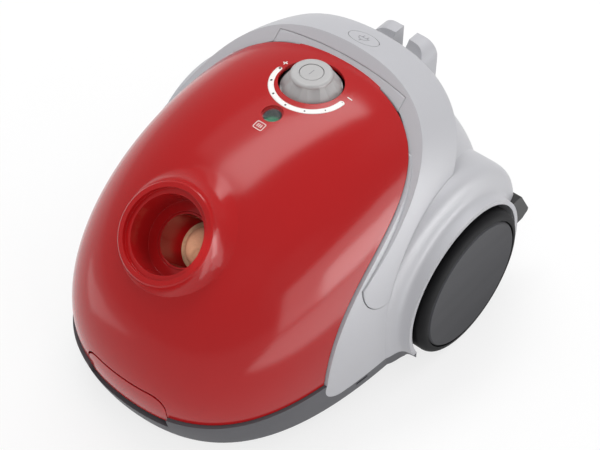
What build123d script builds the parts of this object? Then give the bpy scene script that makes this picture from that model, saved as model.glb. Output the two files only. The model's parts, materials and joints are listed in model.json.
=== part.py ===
"""Canister vacuum cleaner with a hinged lid, a bow handle, two large wheels and a front caster.

Millimetres, +Z up. The hose inlet faces -Y, the wheels are at +X and -X, and the origin is on the
floor under the middle of the machine.
"""
import os
from math import cos, radians, sin

from build123d import *

os.makedirs("parts", exist_ok=True)

# Egg form shared by the casing parts, measured from its heart
half_width = 121.5
crown_rise = 146.0
nose_reach = 205.0
tail_reach = 145.25
heart_y = 28.5
heart_z = 60.0
roundness = 0.72
base_bottom = 16.0
lid_seam_z = 50.0
seam_slope = 0.1
rear_seam_z = 28.0

# Walls and clearances
lid_wall = 3.0
lid_inset = 2.0
base_wall = 3.0
housing_wall = 6.0
part_gap = 0.8
bow_gap = 1.5
bow_edge_gap = 0.7
running_fit = 0.08
seat_gap = 0.3
corner_round = 2.0

# Side view of the line where the lid ends and the bow and side trim begin, as (Y, Z)
cut_foot = (-75.5, lid_seam_z)
cut_knee = (-38.5, 125.0)
cut_shoulder = (47.5, 179.0)
cut_crown = (77.5, 205.0)
cut_end = (107.5, 240.0)
trim_toe = (-58.5, rear_seam_z)
trim_bend_low = (-68.5, rear_seam_z)
trim_bend_high = (-79.5, 38.0)
far = 300.0

# Bow handle
bow_width = 38.0
bow_lean = 57.9
bow_seat = 3.0
bow_lift = 12.5
bow_stretch = 45.0
bow_thickness = 10.0
bow_foot_front = (-37.5, 122.0)
bow_foot_low = (-22.5, 96.0)
bow_foot_back = (-1.5, 100.0)
crescent_front = (18.0, 113.5)
crescent_low = (45.5, 125.0)
crescent_back = (66.0, 146.0)
rewind_y = 98.5
rewind_half_x = 13.0
rewind_half_y = 8.5
rewind_floor = 200.0
rewind_travel = 2.5
rewind_clearance = 0.4

# Finger well behind and under the bow
well_y = 121.5
well_z = 194.0
well_half_width = 60.0
well_radius = 32.0
well_wall = 3.0

# Lid hinge, with a barrel-shaped room for the rolled rear edge of the lid
hinge_y = 71.5
hinge_z = 193.0
hinge_relief = 13.0
hinge_room_half = 60.0
hinge_room_end = 7.5
roll_half = 38.0
roll_wall = 4.8
roll_turn = 125.0
knuckle_radius = 3.2
knuckle_inner_x = 24.0
knuckle_outer_x = 36.0
knuckle_arm_width = 4.4
knuckle_arm_height = 8.0
hinge_pin_radius = 1.6
hinge_plate = 3.0
hinge_plate_gap = 1.0
hinge_foot_length = 10.0
hinge_eye_radius = 2.2

# Hose inlet on the lid
inlet_y = -120.5
inlet_z = 171.0
inlet_tilt = 40.0
inlet_bore_radius = 29.0
inlet_rim_radius = 33.0
inlet_rim_depth = 4.0
inlet_lip_radius = 37.5
inlet_lip_edge = 1.0
inlet_flare_radius = 62.0
inlet_flare_drop = 25.0
inlet_root = 12.0
inlet_socket_depth = 32.5
inlet_wall = 2.8
sleeve_radius = 21.0
sleeve_wall = 1.6
sleeve_flange = 4.0
sleeve_bottom = 62.0

# Speed knob with grip hollows and the power button in its middle
knob_y = 37.5
knob_base_z = 197.5
knob_height = 16.5
knob_skirt = 3.0
knob_base_radius = 23.0
knob_top_radius = 16.0
knob_round = 2.6
knob_hole_clearance = 1.6
knob_stem_radius = 4.0
grip_hollows = 8
grip_radius = 15.6
grip_depth = 1.2
button_radius = 9.0
button_depth = 6.0
button_edge = 0.6
button_travel = 2.0
control_length = 24.0
control_width = 22.0
control_height = 10.0
control_collar = 4.0
control_bore = 12.0
stem_clearance = 2.0

# Bag-full indicator
indicator_y = -6.0
indicator_radius = 8.0
indicator_depth = 16.0
indicator_wall = 1.5
lens_ledge = 1.1
lens_sink = 0.4
lens_thickness = 1.4
float_radius = 5.8
float_height = 4.0

# Wheels
wheel_y = 64.5
wheel_radius = 62.0
wheel_outer_x = 140.5
tyre_width = 32.0
tyre_shoulder = 6.5
tyre_inset = 0.5
hub_radius = 55.0
hub_wall = 4.0
hub_boss_wall = 6.0
cap_thickness = 6.0
cap_groove = 0.8
cap_edge = 1.5
cap_dish = 1.2
cap_pocket = 3.0
arch_radius = 66.0
arch_skirt_half = 57.0
arch_lip_x = 133.5
arch_lip = 3.5
arch_crease = (121.0, 79.0)
arch_back = (98.0, 90.0)
pan_x = 98.0
pan_wall = 3.0
axle_radius = 5.0
axle_inner_x = 82.0
axle_boss_radius = 10.0
axle_tip = 4.0

# Front caster in a cup let into the base
caster_y = -116.5
caster_radius = 11.0
caster_width = 14.0
caster_trail = 10.0
caster_plate_radius = 28.0
caster_plate_z = 24.0
caster_plate = 3.0
caster_cheek = 3.0
caster_cheek_gap = 1.0
caster_eye_radius = 6.0
caster_stem_radius = 5.0
caster_pin_radius = 2.0
caster_edge = 2.0
cup_radius = 32.0
cup_roof = 28.0
cup_wall = 3.0
cup_flange = 4.0
cup_boss_radius = 9.0

# Dust chamber
tray_z = 38.0
tray_plate = 2.5
bulkhead_y = 12.5
bulkhead = 3.0
deck_z = 168.0
deck_plate = 3.0
deck_rear = 93.5
deck_width = 150.0
window_half_x = 45.0
window_low = 70.0
window_high = 130.0
window_corner = 8.0
window_bar = 4.0
filter_border = 6.0
filter_frame_depth = 6.0
filter_pad_depth = 5.0
collar_plate = 2.0
collar_half_x = 52.0
collar_half_length = 48.0
collar_corner = 5.0
collar_play = 1.0
holder_plate = 3.0
holder_rim = 4.0
holder_lap = 5.0
holder_post_y = -114.5
holder_post_width = 8.0
holder_post_depth = 5.0
bag_inset = 20.0
bag_y = -53.5
bag_width = 170.0
bag_length = 116.0
bag_height = 99.0
bag_corner = 30.0

# Motor and cord reel
motor_z = 92.0
shroud_radius = 54.0
shroud_eye = 20.0
shroud_front = 20.5
shroud_length = 38.0
shroud_wall = 3.0
can_radius = 42.0
can_length = 43.0
impeller_radius = 48.0
impeller_eye = 18.0
impeller_front = 6.0
impeller_cone = 2.0
impeller_length = 16.0
shaft_radius = 4.0
shaft_overhang = 2.0
seal_inner = 38.0
seal_outer = 50.0
cradle_width = 90.0
cradle_depth = 8.0
cradle_setback = 6.0
reel_z = 80.0
reel_front = 104.5
reel_width = 42.0
reel_radius = 48.0
reel_hub_radius = 24.0
reel_flange = 2.0
stand_width = 40.0
stand_plate = 3.0
stand_gap = 1.0

# Reel brake
brake_x = 54.0
brake_z = 60.0
brake_length = 60.0
brake_width = 8.0
brake_thickness = 5.0
brake_bore = 2.0
brake_arm_start = 14.0

# Exhaust grille and filter
grille_slots = 5
grille_pitch = 6.4
grille_slot = 3.4
grille_slot_margin = 7.0
grille_corner = 10.0
grille_half_x = 42.0
grille_low = 62.0
grille_high = 100.0
filter_depth = 6.0
filter_rim = 4.0

# Parking horns for the nozzle clip
park_half_x = 27.0
park_low = 140.0
park_top = 178.0
park_corner = 13.0
park_slot = 13.0
park_slot_depth = 22.0
park_back = 159.5
park_length = 19.0

# Cord outlet, side slot of the base and rear stand lugs
outlet_x = 48.0
outlet_z = 46.0
outlet_radius = 9.0
outlet_wall = 3.5
slot_y = -38.0
slot_z = 24.4
slot_length = 12.0
slot_height = 3.0
lug_x = 120.5
lug_width = 9.0
lug_low = 52.3
lug_heel_y = 156.0
lug_tip = (164.5, 57.3)
lug_top = (149.0, 83.0)
lug_round = 3.0

# Latch lever with its pivot, hook and catch
latch_half_x = 38.5
latch_top_z = 62.0
latch_low_z = 34.5
latch_corner = 13.0
latch_top_gap = 2.0
latch_finger_gap = 4.6
latch_pivot_y = -164.0
latch_pivot_z = 57.0
latch_pin_radius = 1.5
latch_boss_x = 20.0
latch_boss_width = 6.0
latch_boss_depth = 11.0
latch_boss_height = 7.0
latch_boss_ahead = 2.5
latch_ear_x = 14.0
latch_ear_width = 4.0
latch_ear_depth = 8.0
latch_ear_front = 3.0
latch_ear_top = 74.0
hook_half_x = 10.0
hook_reach = -161.5
hook_length = 10.0
hook_top = 39.0
hook_height = 2.5
catch_front = -163.0
catch_length = 8.5
catch_half_x = 14.0
catch_low = 42.0
catch_plate = 2.0
catch_leg = 3.0
tray_setback = 2.0

floor_z = base_bottom + base_wall
lid_edge_shift = (-0.6 * bow_gap, 0.8 * bow_gap)
heart = Pos(0, heart_y, heart_z)
side_plane = Plane.YZ
wheel_plane = Plane((0, wheel_y, wheel_radius), x_dir=(1, 0, 0), z_dir=(0, -1, 0))
wheel_axis = Axis((0, wheel_y, wheel_radius), (1, 0, 0))
inlet_out = Vector(0, -sin(radians(inlet_tilt)), cos(radians(inlet_tilt)))
inlet_mouth = Vector(0, inlet_y, inlet_z)
inlet_plane = Plane(inlet_mouth, x_dir=(1, 0, 0), z_dir=inlet_out)
inlet_profile = Plane(inlet_mouth, x_dir=(1, 0, 0), z_dir=Vector(1, 0, 0).cross(inlet_out))
inlet_axis = Axis(inlet_mouth, inlet_out)
hinge_plane = Plane((0, hinge_y, hinge_z), x_dir=(1, 0, 0), z_dir=(0, 0, 1))
hinge_axis = Axis((0, hinge_y, hinge_z), (1, 0, 0))
rear_plane = Plane.XZ.offset(-heart_y - tail_reach / 2)
latch_plane = Plane.XZ.offset(-latch_pivot_y - latch_ear_depth)


def finish(builder, name):
    """Label a finished piece and write it to its own file."""
    builder.part.label = name
    export_step(builder.part, f"parts/{name}.step")


def egg_line(width, rise):
    """Upper half of the egg's cross-section, between its two poles."""
    Bezier((-width, 0), (-width, roundness * rise), (-roundness * width, rise), (0, rise))
    Bezier((0, rise), (roundness * width, rise), (width, roundness * rise), (width, 0))
    Line((width, 0), (-width, 0))


def egg(inset=0.0, lift=0.0, stretch=0.0):
    """Egg form drawn in by inset, with an optional higher crown and longer tail.

    The cross-section is turned half a round about the line between the poles, drawn out to the nose,
    then turned the other way and drawn out to the tail, and the two skins close one solid.
    """
    rise = crown_rise + lift
    skins = []
    for reach, arc, end in ((nose_reach, 180, 0), (tail_reach + stretch, -180, -1)):
        with BuildPart() as half:
            with BuildSketch(Plane.XZ):
                with BuildLine():
                    egg_line(half_width - inset, rise - inset)
                make_face()
            revolve(axis=Axis.X, revolution_arc=arc)
            scale(by=(1, reach / rise, 1))
        skins.append(half.faces().sort_by(Axis.Y)[end])
    return heart * Solid(Shell(skins))


def shifted(point, move):
    """A side-view point moved by a side-view vector."""
    return (point[0] + move[0], point[1] + move[1])


def cut_line(move=(0.0, 0.0)):
    """Side-view edge between lid and bow, from its foot at the seam to above the crown."""
    points = [shifted(point, move) for point in (cut_foot, cut_knee, cut_shoulder, cut_crown, cut_end)]
    return Spline(*points)


def prism(outline_builder):
    """Side-view outline carried right across the machine."""
    with BuildPart() as block:
        with BuildSketch(side_plane):
            with BuildLine():
                outline_builder()
            make_face()
        extrude(amount=far, both=True)
    return block.part


def seam_height(y):
    """Height of the front seam, which falls gently towards the nose."""
    return lid_seam_z + seam_slope * (y - cut_foot[0])


def rear_outline():
    """Everything behind the cut and above the rear seam."""
    line = cut_line()
    Polyline(line @ 1, (far, cut_end[1]), (far, rear_seam_z), trim_toe)
    Bezier(trim_toe, trim_bend_low, trim_bend_high, cut_foot)


def lid_outline():
    """Everything above the lid seam and ahead of the cut, less the gap to the bow."""
    line = cut_line(lid_edge_shift)
    low = line @ 0
    Polyline(line @ 1, (-far, cut_end[1]), (-far, seam_height(-far) + part_gap),
             (low.X, seam_height(low.X) + part_gap), low)


def base_outline():
    """Everything under the lid seam at the front and under the rear seam behind the trim."""
    Bezier(trim_toe, trim_bend_low, trim_bend_high, cut_foot)
    Polyline(cut_foot, (-far, seam_height(-far)), (-far, base_bottom), (far, base_bottom),
             (far, rear_seam_z), trim_toe)


def bow_outline(grow=0.0):
    """Band behind the cut, with a rounded foot on the side trim, grown by the gap round its bed."""
    aside = (cos(radians(bow_lean)), -sin(radians(bow_lean)))
    across = ((bow_width + grow) * aside[0], (bow_width + grow) * aside[1])
    front = Spline(shifted(bow_foot_front, (-grow, 0)), cut_shoulder, cut_crown, cut_end)
    heel = shifted(bow_foot_back, (grow * aside[0], grow * aside[1]))
    back = Spline(heel, shifted(cut_shoulder, across), shifted(cut_crown, across), shifted(cut_end, across))
    Line(front @ 1, back @ 1)
    ThreePointArc(front @ 0, shifted(bow_foot_low, (0, -grow)), heel)


def bow_bed_outline():
    """Bed of the bow in the housing, a little wider than the bow."""
    bow_outline(bow_edge_gap)


def crescent_outline():
    """Crescent slit along the rear edge of the bow."""
    ThreePointArc(crescent_front, crescent_low, crescent_back)
    Line(crescent_back, crescent_front)


def front_half(y):
    """Block ahead of a cross plane."""
    with BuildPart() as block:
        with BuildSketch(Plane.XZ.offset(-y)):
            Rectangle(2 * far, 2 * far)
        extrude(amount=far)
    return block.part


def slab(low, high):
    """Level block between two heights."""
    with BuildPart() as block:
        with BuildSketch(Plane.XY.offset(low)):
            Rectangle(2 * far, 2 * far)
        extrude(amount=high - low)
    return block.part


casing = egg()
casing_seat = egg(bow_seat)
casing_inside = egg(housing_wall)
base_inside = egg(base_wall)
lid_form = egg(lid_inset, lid_inset, bow_stretch)
lid_inside = egg(lid_inset + lid_wall, lid_inset, bow_stretch)
bow_form = egg(0, bow_lift, bow_stretch)
bow_inside = egg(bow_thickness, bow_lift, bow_stretch)
inner_fit = egg(housing_wall + seat_gap)
rear_region = prism(rear_outline)
lid_region = prism(lid_outline)
base_region = prism(base_outline)
bow_region = prism(bow_outline)
bow_bed_region = prism(bow_bed_outline)
crescent_region = prism(crescent_outline)

# Space for the wheels and the bulges that cover them
with BuildPart() as wheel_space:
    with BuildSketch(Plane.YZ.offset(pan_x)):
        with Locations((wheel_y, wheel_radius)):
            Circle(arch_radius)
        with Locations((wheel_y, 0)):
            Rectangle(2 * arch_skirt_half, 2 * rear_seam_z)
    extrude(amount=far)
    mirror(about=Plane.YZ)

with BuildPart() as wheel_pan:
    with BuildSketch(Plane.YZ.offset(pan_x - pan_wall)):
        with Locations((wheel_y, wheel_radius)):
            Circle(arch_radius + pan_wall)
    extrude(amount=far)
    with BuildSketch(Plane.YZ.offset(axle_inner_x)):
        with Locations((wheel_y, wheel_radius)):
            Circle(axle_boss_radius)
    extrude(amount=far)
    mirror(about=Plane.YZ)

with BuildPart() as hollow:
    add(casing_inside)
    add(wheel_pan.part, mode=Mode.SUBTRACT)

with BuildPart() as wheel_bulge:
    with BuildSketch(wheel_plane):
        with BuildLine():
            lip = (arch_lip_x, arch_radius + arch_lip)
            Bezier(lip, (lip[0] - 8, lip[1] + 1), (arch_crease[0] + 2, arch_crease[1] - 9), arch_crease)
            Bezier(arch_crease, (arch_crease[0] - 3, arch_crease[1] + 12), (arch_back[0] + 14, arch_back[1]), arch_back)
            Polyline(arch_back, (pan_x / 2, arch_back[1]), (pan_x / 2, 0), (arch_lip_x, 0), lip)
        make_face()
    revolve(axis=wheel_axis)
    mirror(about=Plane.YZ)
    add(hollow.part, mode=Mode.SUBTRACT)
    with BuildSketch(Plane.YZ.offset(-far)):
        with Locations((wheel_y, wheel_radius)):
            Circle(axle_radius)
    extrude(amount=2 * far, mode=Mode.SUBTRACT)

# Finger well behind the bow
well_line = Axis((0, well_y, well_z), (1, 0, 0))
with BuildPart() as well_space:
    with BuildSketch(Plane((0, well_y, well_z), x_dir=(1, 0, 0), z_dir=(0, -1, 0))):
        with BuildLine():
            EllipticalCenterArc((0, 0), well_half_width, well_radius, start_angle=0, arc_size=180)
            Line((-well_half_width, 0), (well_half_width, 0))
        make_face()
    revolve(axis=well_line)

with BuildPart() as well_shell:
    with BuildSketch(Plane((0, well_y, well_z), x_dir=(1, 0, 0), z_dir=(0, -1, 0))):
        with BuildLine():
            EllipticalCenterArc((0, 0), well_half_width + well_wall, well_radius + well_wall, start_angle=0, arc_size=180)
            Line((-well_half_width - well_wall, 0), (well_half_width + well_wall, 0))
        make_face()
    revolve(axis=well_line)
    add(casing_seat, mode=Mode.INTERSECT)

# Recess that the bow sits in
with BuildPart() as bow_recess:
    add(bow_bed_region)
    add(crescent_region)
    add(casing, mode=Mode.INTERSECT)
    add(egg(bow_seat + seat_gap), mode=Mode.SUBTRACT)

# Room for the rolled rear edge of the lid as it turns
with BuildPart() as hinge_room:
    with BuildSketch(hinge_plane):
        with BuildLine():
            left = (-hinge_room_half, hinge_room_end)
            right = (hinge_room_half, hinge_room_end)
            ThreePointArc(left, (0, hinge_relief), right)
            Polyline(right, (hinge_room_half, 0), (-hinge_room_half, 0), left)
        make_face()
    revolve(axis=hinge_axis)

# Rear housing with side trim, wheel arches, finger well and parking horns
with BuildPart() as rear_housing:
    add(casing)
    add(casing_inside, mode=Mode.SUBTRACT)
    add(wheel_bulge.part)
    with BuildSketch(Plane.XZ.offset(-park_back)):
        with Locations((0, park_low)):
            RectangleRounded(2 * park_half_x, 2 * (park_top - park_low), park_corner)
        with Locations((0, park_top)):
            Rectangle(park_slot, 2 * park_slot_depth, mode=Mode.SUBTRACT)
    extrude(amount=park_length)
    add(hollow.part, mode=Mode.SUBTRACT)
    add(rear_region, mode=Mode.INTERSECT)
    add(bow_recess.part, mode=Mode.SUBTRACT)
    add(well_shell.part)
    add(well_space.part, mode=Mode.SUBTRACT)
    add(wheel_space.part, mode=Mode.SUBTRACT)
    add(hinge_room.part, mode=Mode.SUBTRACT)
    with BuildSketch(rear_plane):
        with Locations((0, (grille_low + grille_high) / 2)):
            RectangleRounded(2 * grille_half_x, grille_high - grille_low, grille_corner)
    extrude(amount=-far, mode=Mode.SUBTRACT)
    with BuildSketch(rear_plane):
        with Locations((outlet_x, outlet_z)):
            Circle(outlet_radius)
    extrude(amount=-far, mode=Mode.SUBTRACT)
finish(rear_housing, "rear_housing")

# Base with floor, caster opening, side slots, latch notch and the lower halves of the wheel arches
with BuildPart() as base_shell:
    add(casing)
    add(base_inside, mode=Mode.SUBTRACT)
    add(wheel_bulge.part)
    add(casing & slab(base_bottom, floor_z))
    add(base_region, mode=Mode.INTERSECT)
    with BuildSketch(Plane.XY.offset(base_bottom)):
        with Locations((0, caster_y)):
            Circle(cup_radius + cup_wall)
    extrude(amount=base_wall, mode=Mode.SUBTRACT)
    add(wheel_space.part, mode=Mode.SUBTRACT)
    with BuildSketch(latch_plane):
        with Locations((0, latch_low_z - latch_finger_gap)):
            Rectangle(2 * (latch_half_x + part_gap), far, align=(Align.CENTER, Align.MIN))
    extrude(amount=far, mode=Mode.SUBTRACT)
    with BuildSketch(Plane.YZ):
        with Locations((slot_y, slot_z)):
            SlotOverall(slot_length, slot_height)
    extrude(amount=far, both=True, mode=Mode.SUBTRACT)
finish(base_shell, "base_shell")

# Bow handle with the pocket for the rewind button
with BuildPart() as bow_handle:
    add(bow_form)
    add(bow_region, mode=Mode.INTERSECT)
    add(bow_inside, mode=Mode.SUBTRACT)
    add(casing_seat, mode=Mode.SUBTRACT)
    add(wheel_bulge.part, mode=Mode.SUBTRACT)
    add(hinge_room.part, mode=Mode.SUBTRACT)
    with BuildSketch(Plane.XY.offset(rewind_floor)):
        with Locations((0, rewind_y)):
            Ellipse(rewind_half_x + rewind_clearance, rewind_half_y + rewind_clearance)
    extrude(amount=far, mode=Mode.SUBTRACT)
finish(bow_handle, "bow_handle")

with BuildPart() as rewind_button:
    with BuildSketch(Plane.XY.offset(rewind_floor + rewind_travel + seat_gap)):
        with Locations((0, rewind_y)):
            Ellipse(rewind_half_x, rewind_half_y)
    extrude(amount=far)
    add(bow_form, mode=Mode.INTERSECT)
finish(rewind_button, "rewind_button")

# Hose boss that flares out of the lid
with BuildPart() as inlet_boss:
    with BuildSketch(inlet_profile):
        with BuildLine():
            rim = (inlet_lip_radius, -inlet_lip_edge)
            foot = (inlet_flare_radius, -inlet_flare_drop)
            Bezier(rim, (rim[0] + 1.5, 0.4 * foot[1]), (rim[0] + 10, 0.84 * foot[1]), foot)
            Polyline(foot, (foot[0], foot[1] - inlet_root), (0, foot[1] - inlet_root), (0, 0),
                     (inlet_lip_radius - inlet_lip_edge, 0), rim)
        make_face()
    revolve(axis=inlet_axis)

# Hinge knuckles, rolled rear edge and latch ears that grow out of the lid
knuckle_x = (knuckle_inner_x + knuckle_outer_x) / 2
knuckle_width = knuckle_outer_x - knuckle_inner_x
roll_crown = hinge_relief - part_gap
roll_end = roll_crown - (hinge_relief - hinge_room_end) * (roll_half / hinge_room_half) ** 2
with BuildPart() as lid_fittings:
    with BuildSketch(hinge_plane):
        with BuildLine():
            roll_under = roll_end - roll_wall
            ThreePointArc((-roll_half, roll_end), (0, roll_crown), (roll_half, roll_end))
            Line((roll_half, roll_end), (roll_half, roll_under))
            ThreePointArc((roll_half, roll_under), (0, roll_crown - roll_wall), (-roll_half, roll_under))
            Line((-roll_half, roll_under), (-roll_half, roll_end))
        make_face()
    revolve(axis=hinge_axis, revolution_arc=roll_turn)
    for side in (-1, 1):
        with BuildSketch(Plane.YZ.offset(side * knuckle_x)):
            with Locations((hinge_y, hinge_z)):
                Circle(knuckle_radius)
                Rectangle(knuckle_arm_width, knuckle_arm_height, align=(Align.CENTER, Align.MIN))
        extrude(amount=knuckle_width / 2, both=True)
        with BuildSketch(Plane.YZ.offset(side * latch_ear_x)):
            ear_low = latch_pivot_z - latch_ear_depth / 2
            web_low = latch_top_z + latch_top_gap
            with Locations((latch_pivot_y - latch_ear_front, ear_low)):
                Rectangle(latch_ear_depth, latch_ear_top - ear_low, align=Align.MIN)
            with Locations((latch_pivot_y, web_low)):
                Rectangle(2 * latch_ear_depth, latch_ear_top - web_low, align=(Align.CENTER, Align.MIN))
        extrude(amount=latch_ear_width / 2, both=True)
    add(lid_form, mode=Mode.INTERSECT)

# Shallow seat for the indicator lens
with BuildPart() as lens_seat:
    with BuildSketch(Plane.XY.offset(deck_z)):
        with Locations((0, indicator_y)):
            Circle(indicator_radius)
    extrude(amount=far)
    add(egg(lid_inset + lens_sink + lens_thickness, lid_inset, bow_stretch), mode=Mode.SUBTRACT)

# Lid with hose inlet, knob hole, indicator hole, latch opening and hinge knuckles
with BuildPart() as lid:
    add(lid_form)
    add(inlet_boss.part)
    add(lid_inside, mode=Mode.SUBTRACT)
    add(lid_region, mode=Mode.INTERSECT)
    with BuildSketch(inlet_plane.offset(-inlet_socket_depth)):
        Circle(inlet_bore_radius + inlet_wall)
    extrude(amount=inlet_socket_depth - inlet_rim_depth)
    with BuildSketch(inlet_plane.offset(inlet_wall - inlet_socket_depth)):
        Circle(inlet_bore_radius)
    extrude(amount=far, mode=Mode.SUBTRACT)
    with BuildSketch(inlet_plane.offset(-inlet_socket_depth)):
        Circle(sleeve_radius + seat_gap)
    extrude(amount=far, mode=Mode.SUBTRACT)
    with BuildSketch(inlet_plane.offset(-inlet_rim_depth)):
        Circle(inlet_rim_radius)
    extrude(amount=far, mode=Mode.SUBTRACT)
    with BuildSketch(Plane.XY.offset(deck_z)):
        with Locations((0, knob_y)):
            Circle(knob_base_radius + knob_hole_clearance)
        with Locations((0, indicator_y)):
            Circle(indicator_radius - lens_ledge)
    extrude(amount=far, mode=Mode.SUBTRACT)
    add(lens_seat.part, mode=Mode.SUBTRACT)
    with BuildSketch(latch_plane):
        with Locations((0, latch_top_z + latch_top_gap)):
            RectangleRounded(2 * (latch_half_x + part_gap), latch_top_z + latch_top_gap - latch_low_z, latch_corner,
                             align=(Align.CENTER, Align.MAX))
        with Locations((0, latch_low_z)):
            Rectangle(2 * (latch_half_x + part_gap), 2 * latch_corner)
    extrude(amount=far, mode=Mode.SUBTRACT)
    add(lid_fittings.part)
    with BuildSketch(Plane.YZ):
        with Locations((hinge_y, hinge_z)):
            Circle(hinge_pin_radius + running_fit)
        with Locations((latch_pivot_y, latch_pivot_z)):
            Circle(latch_pin_radius)
    extrude(amount=knuckle_outer_x, both=True, mode=Mode.SUBTRACT)
finish(lid, "lid")

with BuildPart() as inlet_sleeve:
    with BuildSketch(inlet_plane.offset(-sleeve_bottom)):
        Circle(sleeve_radius)
    extrude(amount=sleeve_bottom - inlet_socket_depth + inlet_wall)
    with BuildSketch(inlet_plane.offset(-inlet_socket_depth)):
        Circle(sleeve_radius + sleeve_flange)
    extrude(amount=-sleeve_wall)
    with BuildSketch(inlet_plane.offset(-sleeve_bottom)):
        Circle(sleeve_radius - sleeve_wall)
    extrude(amount=far, mode=Mode.SUBTRACT)
finish(inlet_sleeve, "inlet_sleeve")

# Latch lever with hook, its pin and the catch
with BuildPart() as latch:
    add(lid_form)
    add(lid_inside, mode=Mode.SUBTRACT)
    with BuildSketch(latch_plane):
        with Locations((0, (latch_top_z + latch_low_z) / 2)):
            RectangleRounded(2 * latch_half_x, latch_top_z - latch_low_z, latch_corner)
        with Locations((0, latch_low_z)):
            Rectangle(2 * latch_half_x, latch_corner, align=(Align.CENTER, Align.MIN))
    extrude(amount=far, mode=Mode.INTERSECT)
    for side in (-1, 1):
        with BuildSketch(Plane.YZ.offset(side * latch_boss_x)):
            with Locations((latch_pivot_y - latch_boss_ahead, latch_pivot_z)):
                Rectangle(latch_boss_depth, latch_boss_height)
        extrude(amount=latch_boss_width / 2, both=True)
    with BuildSketch(Plane.YZ):
        with Locations((hook_reach, hook_top)):
            Rectangle(hook_length, hook_height, align=Align.MAX)
    extrude(amount=hook_half_x, both=True)
    add(lid_form, mode=Mode.INTERSECT)
    with BuildSketch(Plane.YZ):
        with Locations((latch_pivot_y, latch_pivot_z)):
            Circle(latch_pin_radius + running_fit)
    extrude(amount=far, both=True, mode=Mode.SUBTRACT)
finish(latch, "latch")

with BuildPart() as latch_pin:
    with BuildSketch(Plane.YZ):
        with Locations((latch_pivot_y, latch_pivot_z)):
            Circle(latch_pin_radius)
    extrude(amount=latch_boss_x + latch_boss_width / 2, both=True)
finish(latch_pin, "latch_pin")

with BuildPart() as latch_catch:
    with BuildSketch(Plane.YZ):
        with Locations((catch_front, catch_low)):
            Rectangle(catch_length, catch_plate, align=Align.MIN)
        with Locations((catch_front + catch_length, tray_z + tray_plate)):
            Rectangle(catch_leg, catch_low - tray_z - tray_plate, align=(Align.MAX, Align.MIN))
    extrude(amount=catch_half_x, both=True)
finish(latch_catch, "latch_catch")

# Lid hinge carried by the deck over the motor
deck_top = deck_z + deck_plate
with BuildPart() as deck:
    with BuildSketch(Plane.XY.offset(deck_z)):
        with Locations((0, bulkhead_y)):
            Rectangle(deck_width, deck_rear - bulkhead_y, align=(Align.CENTER, Align.MIN))
    extrude(amount=deck_plate)
    add(inner_fit, mode=Mode.INTERSECT)
    add(well_shell.part, mode=Mode.SUBTRACT)
finish(deck, "motor_deck")

hinge_plate_shift = hinge_plate_gap + hinge_plate / 2
with BuildPart() as hinge_bracket:
    for side in (-1, 1):
        for x in (knuckle_inner_x - hinge_plate_shift, knuckle_outer_x + hinge_plate_shift):
            with BuildSketch(Plane.YZ.offset(side * x)):
                with Locations((hinge_y, hinge_z)):
                    Circle(hinge_eye_radius)
                with Locations((hinge_y + corner_round, deck_top)):
                    Rectangle(hinge_foot_length, hinge_z - deck_top, align=(Align.MAX, Align.MIN))
            extrude(amount=hinge_plate / 2, both=True)
        with BuildSketch(Plane.XY.offset(deck_top)):
            with Locations((side * knuckle_x, hinge_y + corner_round)):
                Rectangle(knuckle_width + 2 * hinge_plate_shift + hinge_plate, hinge_foot_length,
                          align=(Align.CENTER, Align.MAX))
        extrude(amount=hinge_plate)
    with BuildSketch(Plane.YZ):
        with Locations((hinge_y, hinge_z)):
            Circle(hinge_pin_radius)
    extrude(amount=far, both=True, mode=Mode.SUBTRACT)
finish(hinge_bracket, "hinge_bracket")

with BuildPart() as hinge_pins:
    for side in (-1, 1):
        with BuildSketch(Plane.YZ.offset(side * knuckle_x)):
            with Locations((hinge_y, hinge_z)):
                Circle(hinge_pin_radius)
        extrude(amount=knuckle_width / 2 + hinge_plate_gap + hinge_plate, both=True)
finish(hinge_pins, "hinge_pins")

# Scoop for the knob's grip hollows, along the slope of its side
knob_top = knob_base_z + knob_height
slope_foot = Vector(knob_base_radius, 0, knob_skirt)
slope_head = Vector(knob_top_radius, 0, knob_height - knob_round)
slope_way = (slope_head - slope_foot).normalized()
slope_out = Vector(slope_way.Z, 0, -slope_way.X)
scoop_centre = (slope_foot + slope_head) * 0.5 + slope_out * (grip_radius - grip_depth)
with BuildPart() as grip_scoop:
    with BuildSketch(Plane(scoop_centre, x_dir=(0, 1, 0), z_dir=slope_way)):
        Circle(grip_radius)
    extrude(amount=(slope_head - slope_foot).length / 2, both=True)

# Knob with grip hollows, power button, and the control under them
knob_plane = Plane((0, knob_y, knob_base_z), x_dir=(1, 0, 0), z_dir=(0, -1, 0))
knob_axis = Axis((0, knob_y, 0), (0, 0, 1))
with BuildPart() as knob:
    with BuildSketch(knob_plane):
        with BuildLine():
            shoulder = (knob_top_radius, knob_height - knob_round)
            brow = (knob_top_radius - knob_round, knob_height)
            bend = (knob_top_radius - 0.25 * knob_round, knob_height - 0.3 * knob_round)
            Polyline((0, knob_height), (0, 0), (knob_base_radius, 0), (knob_base_radius, knob_skirt), shoulder)
            ThreePointArc(shoulder, bend, brow)
            Line(brow, (0, knob_height))
        make_face()
    revolve(axis=knob_axis)
    for step in range(grip_hollows):
        add(Pos(0, knob_y, knob_base_z) * Rot(0, 0, 360 / grip_hollows * step) * grip_scoop.part, mode=Mode.SUBTRACT)
    with BuildSketch(Plane.XY.offset(knob_top - button_depth - button_travel - seat_gap)):
        with Locations((0, knob_y)):
            Circle(button_radius + seat_gap)
    extrude(amount=far, mode=Mode.SUBTRACT)
    with BuildSketch(Plane.XY.offset(deck_top + control_bore + stem_clearance)):
        with Locations((0, knob_y)):
            Circle(knob_stem_radius)
    extrude(amount=knob_base_z - deck_top - control_bore - stem_clearance)
finish(knob, "speed_knob")

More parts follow.
